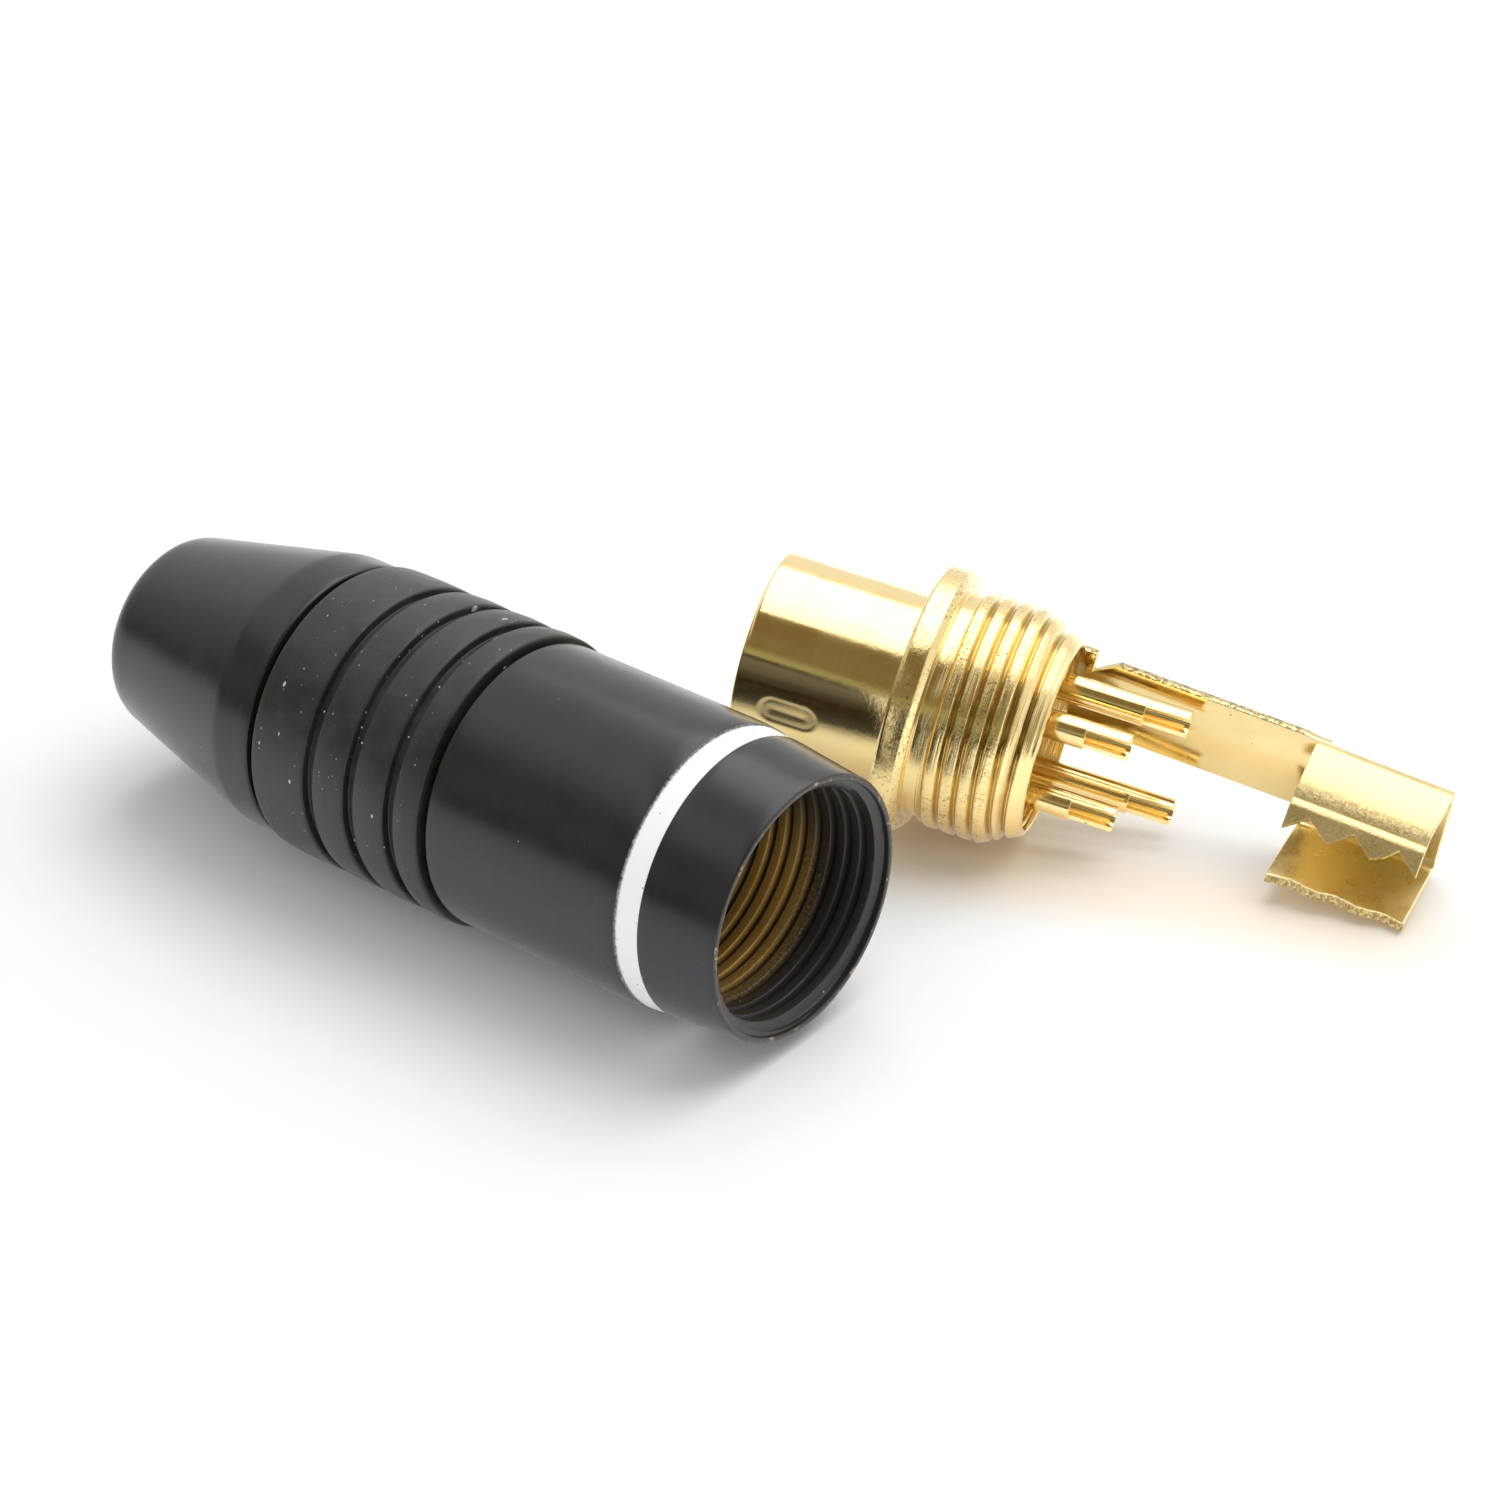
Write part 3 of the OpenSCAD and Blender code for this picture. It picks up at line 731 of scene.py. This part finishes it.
class Graph:
    """Shorthand for building a node tree."""

    def __init__(self, tree):
        self.tree = tree

    def put(self, socket, value):
        """Link an output to this input, or set a plain value on it."""
        if isinstance(value, bpy.types.NodeSocket):
            self.tree.links.new(value, socket)
        else:
            socket.default_value = value

    def node(self, kind, values=None, **settings):
        """New node with these settings, and these values put on its inputs."""
        node = self.tree.nodes.new(kind)
        for key, value in settings.items():
            setattr(node, key, value)
        for key, value in (values or {}).items():
            self.put(node.inputs[key], value)
        return node

    def maths(self, operation, first, second=0.0):
        return self.node("ShaderNodeMath", {0: first, 1: second}, operation=operation).outputs[0]

    def plus(self, first, second):
        return self.maths("ADD", first, second)

    def minus(self, first, second):
        return self.maths("SUBTRACT", first, second)

    def times(self, first, second):
        return self.maths("MULTIPLY", first, second)

    def larger(self, first, second):
        return self.maths("MAXIMUM", first, second)

    def xyz(self, vector):
        """The three parts of a vector."""
        return self.node("ShaderNodeSeparateXYZ", {0: vector}).outputs

    def toward(self, way, side):
        """How far a direction points to a side: 1 straight at it, -1 away from it."""
        values = {0: way, 1: side}
        return self.node("ShaderNodeVectorMath", values, operation="DOT_PRODUCT").outputs["Value"]

    def stretch(self, vector, scale):
        """Coordinates whose pattern is drawn out along the axes with a small scale."""
        return self.node("ShaderNodeMapping", {"Vector": vector, "Scale": scale}).outputs[0]

    def ramp(self, value, low, high, to_low=0.0, to_high=1.0):
        """Soft step of a value between two limits."""
        limits = {"Value": value, "From Min": low, "From Max": high, "To Min": to_low, "To Max": to_high}
        return self.node("ShaderNodeMapRange", limits, interpolation_type="SMOOTHSTEP").outputs[0]

    def mix(self, factor, first, second):
        """Blend of two colours."""
        node = self.node("ShaderNodeMix", data_type="RGBA")
        for index, value in ((0, factor), (6, first), (7, second)):
            if isinstance(value, tuple):
                value = (*value, 1)
            self.put(node.inputs[index], value)
        return node.outputs[2]

    def noise(self, vector, scale, detail=3.0, roughness=0.55):
        values = {"Vector": vector, "Scale": scale, "Detail": detail, "Roughness": roughness}
        return self.node("ShaderNodeTexNoise", values).outputs["Fac"]

    def group(self, tree, values):
        return self.node("ShaderNodeGroup", values, node_tree=tree).outputs[0]


def new_group(name, inputs, output):
    """Empty node group with these inputs and one output."""
    tree = bpy.data.node_groups.new(name, "ShaderNodeTree")
    for label in inputs:
        kind = "NodeSocketVector" if label == "Vector" else "NodeSocketFloat"
        tree.interface.new_socket(label, in_out="INPUT", socket_type=kind)
    tree.interface.new_socket(output, in_out="OUTPUT", socket_type="NodeSocketFloat")
    graph = Graph(tree)
    start = graph.node("NodeGroupInput")
    end = graph.node("NodeGroupOutput")
    return graph, start.outputs, end.inputs[0]


def make_specks_group():
    """Scattered specks: a mask that is 1 on them."""
    graph, given, end = new_group("specks", ("Vector", "Scale", "Size", "Share"), "Mask")
    cells = graph.node(
        "ShaderNodeTexVoronoi", {"Vector": given["Vector"], "Scale": given["Scale"], "Randomness": 1.0}
    )
    channels = graph.node("ShaderNodeSeparateColor", {0: cells.outputs["Color"]}).outputs
    chosen = graph.maths("LESS_THAN", channels[0], given["Share"])
    size = graph.times(channels[1], given["Size"])
    near = graph.maths("LESS_THAN", cells.outputs["Distance"], size)
    graph.tree.links.new(graph.times(chosen, near), end)
    return graph.tree


def make_smudges_group():
    """Soft uneven patches between 0 and 1."""
    graph, given, end = new_group("smudges", ("Vector", "Scale"), "Value")
    patches = graph.noise(given["Vector"], given["Scale"], detail=4.0, roughness=0.6)
    graph.tree.links.new(graph.ramp(patches, 0.32, 0.68), end)
    return graph.tree


def make_lathe_group():
    """Fine lines that run round a turned piece, whose axis is x."""
    graph, given, end = new_group("lathe_lines", ("Vector", "Scale"), "Height")
    drawn = graph.stretch(given["Vector"], (1, 0.012, 0.012))
    lines = graph.noise(drawn, given["Scale"], detail=4.0, roughness=0.7)
    graph.tree.links.new(lines, end)
    return graph.tree


SPECKS = make_specks_group()
SMUDGES = make_smudges_group()
LATHE = make_lathe_group()


def new_material(name, matrix):
    """Material whose coordinates are millimetres in a piece's own place."""
    material = bpy.data.materials.new(name)
    material.use_nodes = True
    graph = Graph(material.node_tree)
    shader = material.node_tree.nodes["Principled BSDF"]
    coordinates = graph.node("ShaderNodeTexCoord").outputs["Object"]
    spot, turn, scale = matrix.decompose()
    values = {"Vector": coordinates, "Location": spot, "Rotation": turn.to_euler(), "Scale": scale}
    local = graph.node("ShaderNodeMapping", values, vector_type="TEXTURE").outputs[0]
    return material, graph, shader, local


def along_and_radius(graph, local):
    """Distance along a turned piece's axis and from it."""
    parts = graph.xyz(local)
    across = graph.node("ShaderNodeCombineXYZ", {"Y": parts["Y"], "Z": parts["Z"]}).outputs[0]
    radius = graph.node("ShaderNodeVectorMath", {0: across}, operation="LENGTH").outputs["Value"]
    return parts["X"], radius


def bump(graph, shader, height, strength, distance):
    """Bump on the shader, with a depth in metres."""
    values = {"Height": height, "Strength": strength, "Distance": distance}
    node = graph.node("ShaderNodeBump", values)
    graph.tree.links.new(node.outputs[0], shader.inputs["Normal"])


def connect(graph, shader, **sockets):
    """Link outputs to the shader's inputs, named with low lines for blanks."""
    for label, value in sockets.items():
        graph.tree.links.new(value, shader.inputs[label.replace("_", " ")])


def make_paint():
    """Black satin paint on the barrel, with its white ring, a worn mouth edge and dust."""
    material, graph, shader, local = new_material("black_paint", BARREL)
    along, radius = along_and_radius(graph, local)
    patches = graph.group(SMUDGES, {"Vector": local, "Scale": 0.5})
    black = graph.mix(patches, PAINT_DARK, PAINT_PALE)
    dust = graph.group(SPECKS, {"Vector": local, "Scale": 1.1, "Size": 0.045, "Share": 0.4})
    black = graph.mix(graph.times(dust, 0.6), black, DUST)

    rag = graph.noise(local, 7.0, detail=5.0, roughness=0.75)
    front_edge = graph.ramp(along, RING_AT - 0.02, RING_AT + 0.02)
    ragged = graph.plus(along, graph.times(rag, 0.22))
    rear_edge = graph.ramp(ragged, RING_AT + RING_W - 0.02, RING_AT + RING_W + 0.16, 1.0, 0.0)
    outside = graph.maths("GREATER_THAN", radius, MOUTH_R - 0.1)
    ring = graph.times(graph.times(front_edge, rear_edge), outside)
    pits = graph.group(SPECKS, {"Vector": local, "Scale": 3.4, "Size": 0.16, "Share": 0.24})
    ring = graph.times(ring, graph.minus(1.0, pits))
    colour = graph.mix(ring, black, RING_WHITE)

    rim = graph.ramp(along, 0.01, 0.045, 1.0, 0.0)
    chips = graph.ramp(graph.noise(local, 1.1, detail=5.0, roughness=0.8), 0.56, 0.66, 0.06, 0.8)
    worn = graph.times(rim, chips)
    colour = graph.mix(worn, colour, RAW_BRASS)

    inside = graph.maths("LESS_THAN", radius, SEAT_R - 0.1)
    reach = graph.times(graph.ramp(along, *RAW_FROM), graph.ramp(along, *RAW_TO, 1.0, 0.0))
    deep = graph.times(reach, inside)
    colour = graph.mix(deep, colour, RAW_BRASS)
    metal = graph.larger(worn, deep)

    rough = graph.ramp(patches, 0.0, 1.0, 0.25, 0.28)
    lip = graph.maths("LESS_THAN", radius, MOUTH_MAJOR_R + 0.1)
    lip = graph.times(lip, graph.maths("LESS_THAN", along, MOUTH_THREAD_END))
    rough = graph.plus(rough, graph.times(graph.plus(ring, lip), 0.2))
    rough = graph.plus(rough, graph.times(dust, 0.4))
    connect(graph, shader, Base_Color=colour, Roughness=rough, Metallic=metal)
    grain = graph.noise(local, 14.0, detail=3.0, roughness=0.6)
    lines = graph.group(LATHE, {"Vector": local, "Scale": 9.0})
    height = graph.plus(grain, lines)
    height = graph.plus(height, graph.times(dust, 4.0))
    bump(graph, shader, height, strength=0.05, distance=0.00001)
    return material


def make_thread_finish():
    """Paint that thins out inside the mouth down to the raw brass; towards the bottom of the mouth more of
    the brighter brass shows, towards the top it stays darker.
    """
    material, graph, shader, local = new_material("painted_thread", BARREL)
    along, radius = along_and_radius(graph, local)
    grain = graph.noise(local, 9.0, detail=5.0, roughness=0.7)
    thin = graph.plus(along, graph.times(grain, 3.0))
    # the lower side of the mouth is made barer and brighter, the top darker
    low = graph.xyz(local)["Z"]
    thin = graph.plus(thin, graph.ramp(low, -5.0, -1.0, 0.4, 0.0))
    bare = graph.times(graph.ramp(thin, 4.2, 6.6), graph.ramp(low, -3.0, 2.0, 1.0, 0.08))
    crest = graph.ramp(radius, MOUTH_MINOR_R + 0.12, MOUTH_MINOR_R + 0.3, 1.0, 0.15)
    bare = graph.times(bare, crest)
    flecks = graph.group(SPECKS, {"Vector": local, "Scale": 2.4, "Size": 0.16, "Share": 0.12})
    bare = graph.larger(bare, flecks)
    tone = graph.mix(graph.noise(local, 16.0, detail=3.0), BRASS_DARK, BRASS_PALE)
    connect(
        graph,
        shader,
        Base_Color=graph.mix(bare, THREAD_PAINT, tone),
        Metallic=graph.times(bare, 0.45),
        Roughness=graph.ramp(grain, 0.3, 0.7, 0.28, 0.5),
    )
    pits = graph.noise(local, 14.0, detail=4.0, roughness=0.7)
    bump(graph, shader, pits, strength=0.35, distance=0.00002)
    return material


def make_rubber():
    """Matte black rubber with lint and dust."""
    material, graph, shader, local = new_material("black_rubber", BARREL)
    patches = graph.group(SMUDGES, {"Vector": local, "Scale": 0.6})
    black = graph.mix(patches, RUBBER_DARK, RUBBER_PALE)
    _, radius = along_and_radius(graph, local)
    edges = graph.ramp(radius, SLEEVE_R - 0.14, SLEEVE_R - 0.03, 1.0, 0.3)
    dust = graph.group(SPECKS, {"Vector": local, "Scale": 3.6, "Size": 0.2, "Share": 0.34})
    drawn = graph.stretch(local, (1, 0.35, 0.6))
    lint = graph.group(SPECKS, {"Vector": drawn, "Scale": 1.6, "Size": 0.13, "Share": 0.4})
    white = graph.larger(graph.times(dust, edges), graph.times(lint, 0.8))
    film = graph.ramp(graph.noise(local, 1.6, detail=5.0, roughness=0.7), 0.5, 0.75, 0.0, 0.02)
    colour = graph.mix(graph.plus(white, film), black, DUST)
    rough = graph.ramp(patches, 0.0, 1.0, 0.38, 0.46)
    connect(graph, shader, Base_Color=colour, Roughness=rough)
    height = graph.plus(graph.noise(local, 16.0, detail=4.0, roughness=0.65), graph.times(white, 3.0))
    bump(graph, shader, height, strength=0.3, distance=0.00002)
    return material


def make_turned_gold():
    """Gold plate on turned pieces: lathe lines, handling marks, dirt on the flange and thread, and painted
    shade in the thread's grooves.
    """
    material, graph, shader, local = new_material("gold_plate", CORE)
    along, radius = along_and_radius(graph, local)
    patches = graph.group(SMUDGES, {"Vector": local, "Scale": 0.55})
    gold = graph.mix(patches, GOLD_DEEP, GOLD)
    outer = graph.ramp(radius, THREAD_ROOT_R + 0.1, THREAD_ROOT_R + 0.25)
    specks = graph.group(SPECKS, {"Vector": local, "Scale": 6.5, "Size": 0.42, "Share": 0.4})
    mottle = graph.ramp(graph.noise(local, 7.0, detail=5.0, roughness=0.8), 0.5, 0.64)
    areas = graph.ramp(graph.noise(local, 0.9, detail=3.0), 0.4, 0.6, 0.15, 1.0)
    dirt = graph.times(graph.larger(specks, mottle), outer)
    dirt = graph.times(dirt, areas)
    slope = (THREAD_CREST_R - RIM_R) / (COLLAR_L - RIM_AT)
    drop = graph.larger(graph.times(graph.minus(along, RIM_AT), slope), 0.0)
    level = graph.plus(radius, drop)
    # painted shade: the thread's grooves are darkened with a dark brown
    groove = graph.ramp(level, THREAD_CREST_R - 0.2, THREAD_CREST_R - 0.03, 1.0, 0.0)
    threaded = graph.ramp(along, THREAD_AT, THREAD_AT + 0.3)
    threaded = graph.times(threaded, graph.maths("GREATER_THAN", radius, POCKET_R + 0.1))
    groove = graph.times(groove, threaded)
    colour = graph.mix(graph.times(groove, 0.5), gold, GROOVE_PAINTED_SHADE)
    colour = graph.mix(graph.times(dirt, 0.8), colour, GOLD_DIRT)
    dents = graph.group(SPECKS, {"Vector": local, "Scale": 1.3, "Size": 0.09, "Share": 0.35})
    rough = graph.ramp(patches, 0.0, 1.0, 0.08, 0.14)
    rough = graph.plus(rough, graph.times(dirt, 0.25))
    connect(graph, shader, Base_Color=colour, Roughness=rough)
    shader.inputs["Metallic"].default_value = 1
    lines = graph.group(LATHE, {"Vector": local, "Scale": 4.5})
    lines = graph.times(lines, graph.ramp(along, 0.0, NECK_AT, 0.8, 3.0))
    lines = graph.times(lines, graph.ramp(along, NECK_AT, THREAD_AT + 0.2, 1.0, 5.5))
    grain = graph.noise(local, 6.0, detail=4.0, roughness=0.65)
    worn = graph.ramp(along, -5.0, -0.3, 0.4, 1.4)
    height = graph.plus(lines, graph.times(grain, worn))
    height = graph.minus(height, graph.times(graph.plus(dirt, dents), 0.8))
    bump(graph, shader, height, strength=0.25, distance=0.00002)
    return material


def make_pin_gold():
    """Brighter gold plate of the contacts."""
    material, graph, shader, local = new_material("contact_gold", CORE)
    patches = graph.group(SMUDGES, {"Vector": local, "Scale": 1.2})
    nicks = graph.group(SPECKS, {"Vector": local, "Scale": 2.4, "Size": 0.12, "Share": 0.2})
    colour = graph.mix(nicks, graph.mix(patches, GOLD_DEEP, GOLD), GOLD_DIRT)
    connect(graph, shader, Base_Color=colour, Roughness=graph.ramp(patches, 0.0, 1.0, 0.1, 0.2))
    shader.inputs["Metallic"].default_value = 1
    drawn = graph.stretch(local, (0.05, 1, 1))
    height = graph.minus(graph.noise(drawn, 9.0, detail=3.0, roughness=0.6), nicks)
    bump(graph, shader, height, strength=0.2, distance=0.00002)
    return material


def make_sheet_gold(name, folded_sheet):
    """Satin gold plate on sheet; the folded one has painted light on its inside face, stain and a painted
    dark reflection before its crease, and stains on its teeth.
    """
    material, graph, shader, local = new_material(name, STRIP)
    patches = graph.group(SMUDGES, {"Vector": local, "Scale": 0.7})
    scuffs = graph.group(SPECKS, {"Vector": local, "Scale": 2.4, "Size": 0.12, "Share": 0.08})
    if folded_sheet:
        depth = graph.node("ShaderNodeUVMap", uv_map="side").outputs[0]
        inner = graph.ramp(graph.xyz(depth)["X"], 0.8, 0.95)
        # painted light: the inside face gets a brighter gold than the outside
        gold = graph.mix(inner, graph.mix(patches, GOLD_DULL, GOLD_WAN), GOLD_INSIDE_PAINTED_LIGHT)
        place_on_sheet = graph.node("ShaderNodeUVMap", uv_map="sheet").outputs[0]
        run = graph.xyz(place_on_sheet)["Y"]
        uneven = graph.times(graph.noise(local, 2.5, detail=4.0, roughness=0.7), 0.5)
        # painted dark reflection: a band before the crease, mottled with grit, is darkened towards the
        # stain colour
        before = graph.ramp(graph.plus(run, uneven), CREASE_RUN - 0.75, CREASE_RUN - 0.3)
        after = graph.ramp(run, CREASE_RUN - 0.3, CREASE_RUN - 0.15, 1.0, 0.0)
        painted_crease_reflection = graph.times(before, after)
        teeth = graph.ramp(run, CREASE_RUN + 0.12, CREASE_RUN + 0.28)
        edge = graph.ramp(run, 0.2, 0.42, 1.0, 0.0)
        grit = graph.ramp(graph.noise(local, 6.5, detail=5.0, roughness=0.8), 0.42, 0.58)
        marks_and_reflection = graph.larger(graph.times(painted_crease_reflection, 0.55), graph.times(teeth, 0.22))
        marks_and_reflection = graph.larger(marks_and_reflection, graph.times(edge, 0.8))
        outer = graph.minus(1.0, inner)
        stain_and_reflection = graph.times(graph.times(marks_and_reflection, grit), outer)
        pitted = graph.times(teeth, outer)
        scuffs = graph.times(scuffs, outer)
        rub = graph.ramp(inner, 0.0, 1.0, 0.15, 0.02)
        sheen = (0.26, 0.34)
    else:
        gold = graph.mix(patches, GOLD_DULL, GOLD_WAN)
        top = STRIP_RISE + STRIP_W / 2
        top_edge = graph.ramp(graph.xyz(local)["Z"], top - 0.09, top - 0.03)
        spots = graph.ramp(graph.noise(local, 4.0, detail=4.0, roughness=0.8), 0.48, 0.56)
        pitted = graph.times(top_edge, spots)
        stain_and_reflection = graph.times(pitted, 0.9)
        rub = 0.15
        sheen = (0.11, 0.16)
    stain_and_reflection = graph.larger(stain_and_reflection, graph.times(scuffs, 0.5))
    colour = graph.mix(stain_and_reflection, gold, SHEET_STAIN_AND_REFLECTION)
    rough = graph.plus(graph.ramp(patches, 0.0, 1.0, *sheen), graph.times(stain_and_reflection, 0.25))
    connect(graph, shader, Base_Color=colour, Roughness=rough)
    shader.inputs["Metallic"].default_value = 1
    grain = graph.noise(local, 8.0, detail=4.0, roughness=0.7)
    height = graph.plus(graph.times(grain, rub), graph.times(stain_and_reflection, -0.7))
    height = graph.plus(height, graph.times(graph.times(pitted, grain), 2.0))
    bump(graph, shader, height, strength=0.5, distance=0.00003)
    return material


def make_plastic():
    """Pale moulded plastic of the insulator and its key post."""
    material, graph, shader, local = new_material("pale_plastic", CORE)
    patches = graph.group(SMUDGES, {"Vector": local, "Scale": 0.8})
    specks = graph.group(SPECKS, {"Vector": local, "Scale": 1.5, "Size": 0.08, "Share": 0.3})
    colour = graph.mix(specks, graph.mix(patches, PLASTIC_DEEP, PLASTIC), GOLD_DIRT)
    connect(graph, shader, Base_Color=colour, Roughness=graph.ramp(patches, 0.0, 1.0, 0.42, 0.55))
    grain = graph.noise(local, 10.0, detail=3.0, roughness=0.6)
    bump(graph, shader, grain, strength=0.2, distance=0.00002)
    return material


def make_floor_white():
    """White paper with painted warm shade and gold bounce light beside the core; the camera and mirrors
    see it a little brighter.
    """
    material, graph, shader, local = new_material("white_paper", CORE)
    paper = graph.mix(graph.noise(local, 0.4, detail=4.0), PAPER_DEEP, PAPER)
    parts = graph.xyz(local)
    # painted warm shade and bounce light of the gold core, laid into the paper's colour
    aside = graph.maths("ABSOLUTE", graph.plus(parts["Y"], WARM_ASIDE))
    warm = graph.ramp(aside, *WARM_EDGE, 1.0, 0.0)
    warm = graph.times(warm, graph.ramp(parts["X"], *WARM_FROM))
    warm = graph.times(warm, graph.ramp(parts["X"], *WARM_TO, 1.0, 0.0))
    connect(graph, shader, Base_Color=graph.mix(warm, paper, PAPER_PAINTED_WARM_SHADE))
    shader.inputs["Roughness"].default_value = 0.9
    shader.inputs["Specular IOR Level"].default_value = 0.1
    path = graph.node("ShaderNodeLightPath").outputs
    mirrored = graph.larger(path["Is Glossy Ray"], path["Is Transmission Ray"])
    glow = graph.mix(mirrored, graph.mix(path["Is Camera Ray"], (0, 0, 0), PAPER_GLOW), MIRRORED_GLOW)
    connect(graph, shader, Emission_Color=glow)
    shader.inputs["Emission Strength"].default_value = 1
    return material


paint = make_paint()
turned_gold = make_turned_gold()
pin_gold = make_pin_gold()
plastic = make_plastic()

make_barrel(paint)
make_mouth_thread(make_thread_finish())
make_sleeve(make_rubber())
make_shield(turned_gold)
make_collar(turned_gold)
make_collar_thread(turned_gold)
for contact in CONTACTS:
    make_contact(contact, pin_gold)
make_clamp(make_sheet_gold("clamp_gold", True))
make_strip(make_sheet_gold("strip_gold", False))
for name in ("insulator", "key_post"):
    node = frame["nodes"][name]
    node.data.materials.clear()
    node.data.materials.append(plastic)

# Camera
AIM = Vector((-6.065, 6.210, 0)) * MM
CAMERA_DISTANCE = 196.31 * MM
CAMERA_ELEVATION = math.radians(31.31)
CAMERA_AZIMUTH = math.radians(-50.69)
LENS_MM = 100.3
SENSOR_MM = 36
NEAR_CLIP = 0.01

FRONT = Vector((math.cos(CAMERA_AZIMUTH), math.sin(CAMERA_AZIMUTH), 0))
RIGHT = UP.cross(FRONT)
sight = FRONT * math.cos(CAMERA_ELEVATION) + UP * math.sin(CAMERA_ELEVATION)
lens = bpy.data.cameras.new("photo_lens")
lens.lens = LENS_MM
lens.sensor_fit = "HORIZONTAL"
lens.sensor_width = SENSOR_MM
lens.clip_start = NEAR_CLIP
camera = bpy.data.objects.new("photo_camera", lens)
camera.location = AIM + sight * CAMERA_DISTANCE
camera.rotation_euler = sight.to_track_quat("Z", "Y").to_euler()
bpy.context.scene.collection.objects.link(camera)
bpy.context.scene.camera = camera

# Floor
FLOOR_HALF = 1.5

sheet_of_paper = bmesh.new()
bmesh.ops.create_grid(sheet_of_paper, x_segments=1, y_segments=1, size=FLOOR_HALF)
floor = link_object(sheet_of_paper, "floor", make_floor_white())

# Light: a soft box overhead with a brighter middle, and a room round the object
BOX_HEIGHT = 0.35
BOX_ASIDE = 0.16
BOX_COLOUR = (0.96, 0.98, 1.0)


def add_softbox(name, width, front, rear, radiance):
    """Area lamp overhead, between a front and a rear edge as the camera sees it."""
    box = bpy.data.lights.new(name, "AREA")
    box.shape = "RECTANGLE"
    box.size = width
    box.size_y = front - rear
    box.color = BOX_COLOUR
    box.energy = radiance * math.pi * box.size * box.size_y
    lamp = bpy.data.objects.new(name, box)
    lamp.matrix_world = Matrix((RIGHT, FRONT, UP)).transposed().to_4x4()
    lamp.location = UP * BOX_HEIGHT + RIGHT * BOX_ASIDE + FRONT * (front + rear) / 2
    bpy.context.scene.collection.objects.link(lamp)


add_softbox("softbox", width=0.45, front=0.1, rear=-0.42, radiance=1.7)
add_softbox("softbox_middle", width=0.3, front=0.1, rear=-0.24, radiance=1.8)


def make_studio():
    """World: white for the camera, a soft fill for matte surfaces, and a room for what mirrors it.

    The room is pale behind the object, bright high on the left, and dim and warm before it.
    """
    world = bpy.data.worlds.new("studio")
    world.use_nodes = True
    graph = Graph(world.node_tree)
    back = world.node_tree.nodes["Background"]
    way = graph.node("ShaderNodeTexCoord").outputs["Generated"]
    fill_side = FRONT * 0.8 - RIGHT * 0.6
    before = graph.toward(way, fill_side)
    behind = graph.toward(way, -fill_side)
    height = graph.xyz(way)["Z"]
    dim = graph.mix(graph.ramp(height, 0.12, 0.24), ROOM_LOW, ROOM_STREAK)
    dim = graph.mix(graph.ramp(height, 0.4, 0.52), dim, ROOM_DIM)
    left = graph.toward(way, -RIGHT)
    lit = graph.times(graph.ramp(left, 0.3, 0.6), graph.ramp(height, 0.5, 0.95))
    room = graph.mix(graph.ramp(behind, -0.45, 0.27), dim, ROOM_PALE)
    room = graph.mix(lit, room, ROOM_LEFT)
    fill = graph.mix(graph.ramp(before, -0.2, 0.5), FILL_REAR, FILL_FRONT)
    path = graph.node("ShaderNodeLightPath").outputs
    room = graph.mix(path["Is Diffuse Ray"], room, fill)
    graph.tree.links.new(graph.mix(path["Is Camera Ray"], room, (1, 1, 1)), back.inputs["Color"])
    return world


bpy.context.scene.world = make_studio()
bpy.context.scene.view_settings.view_transform = "Standard"
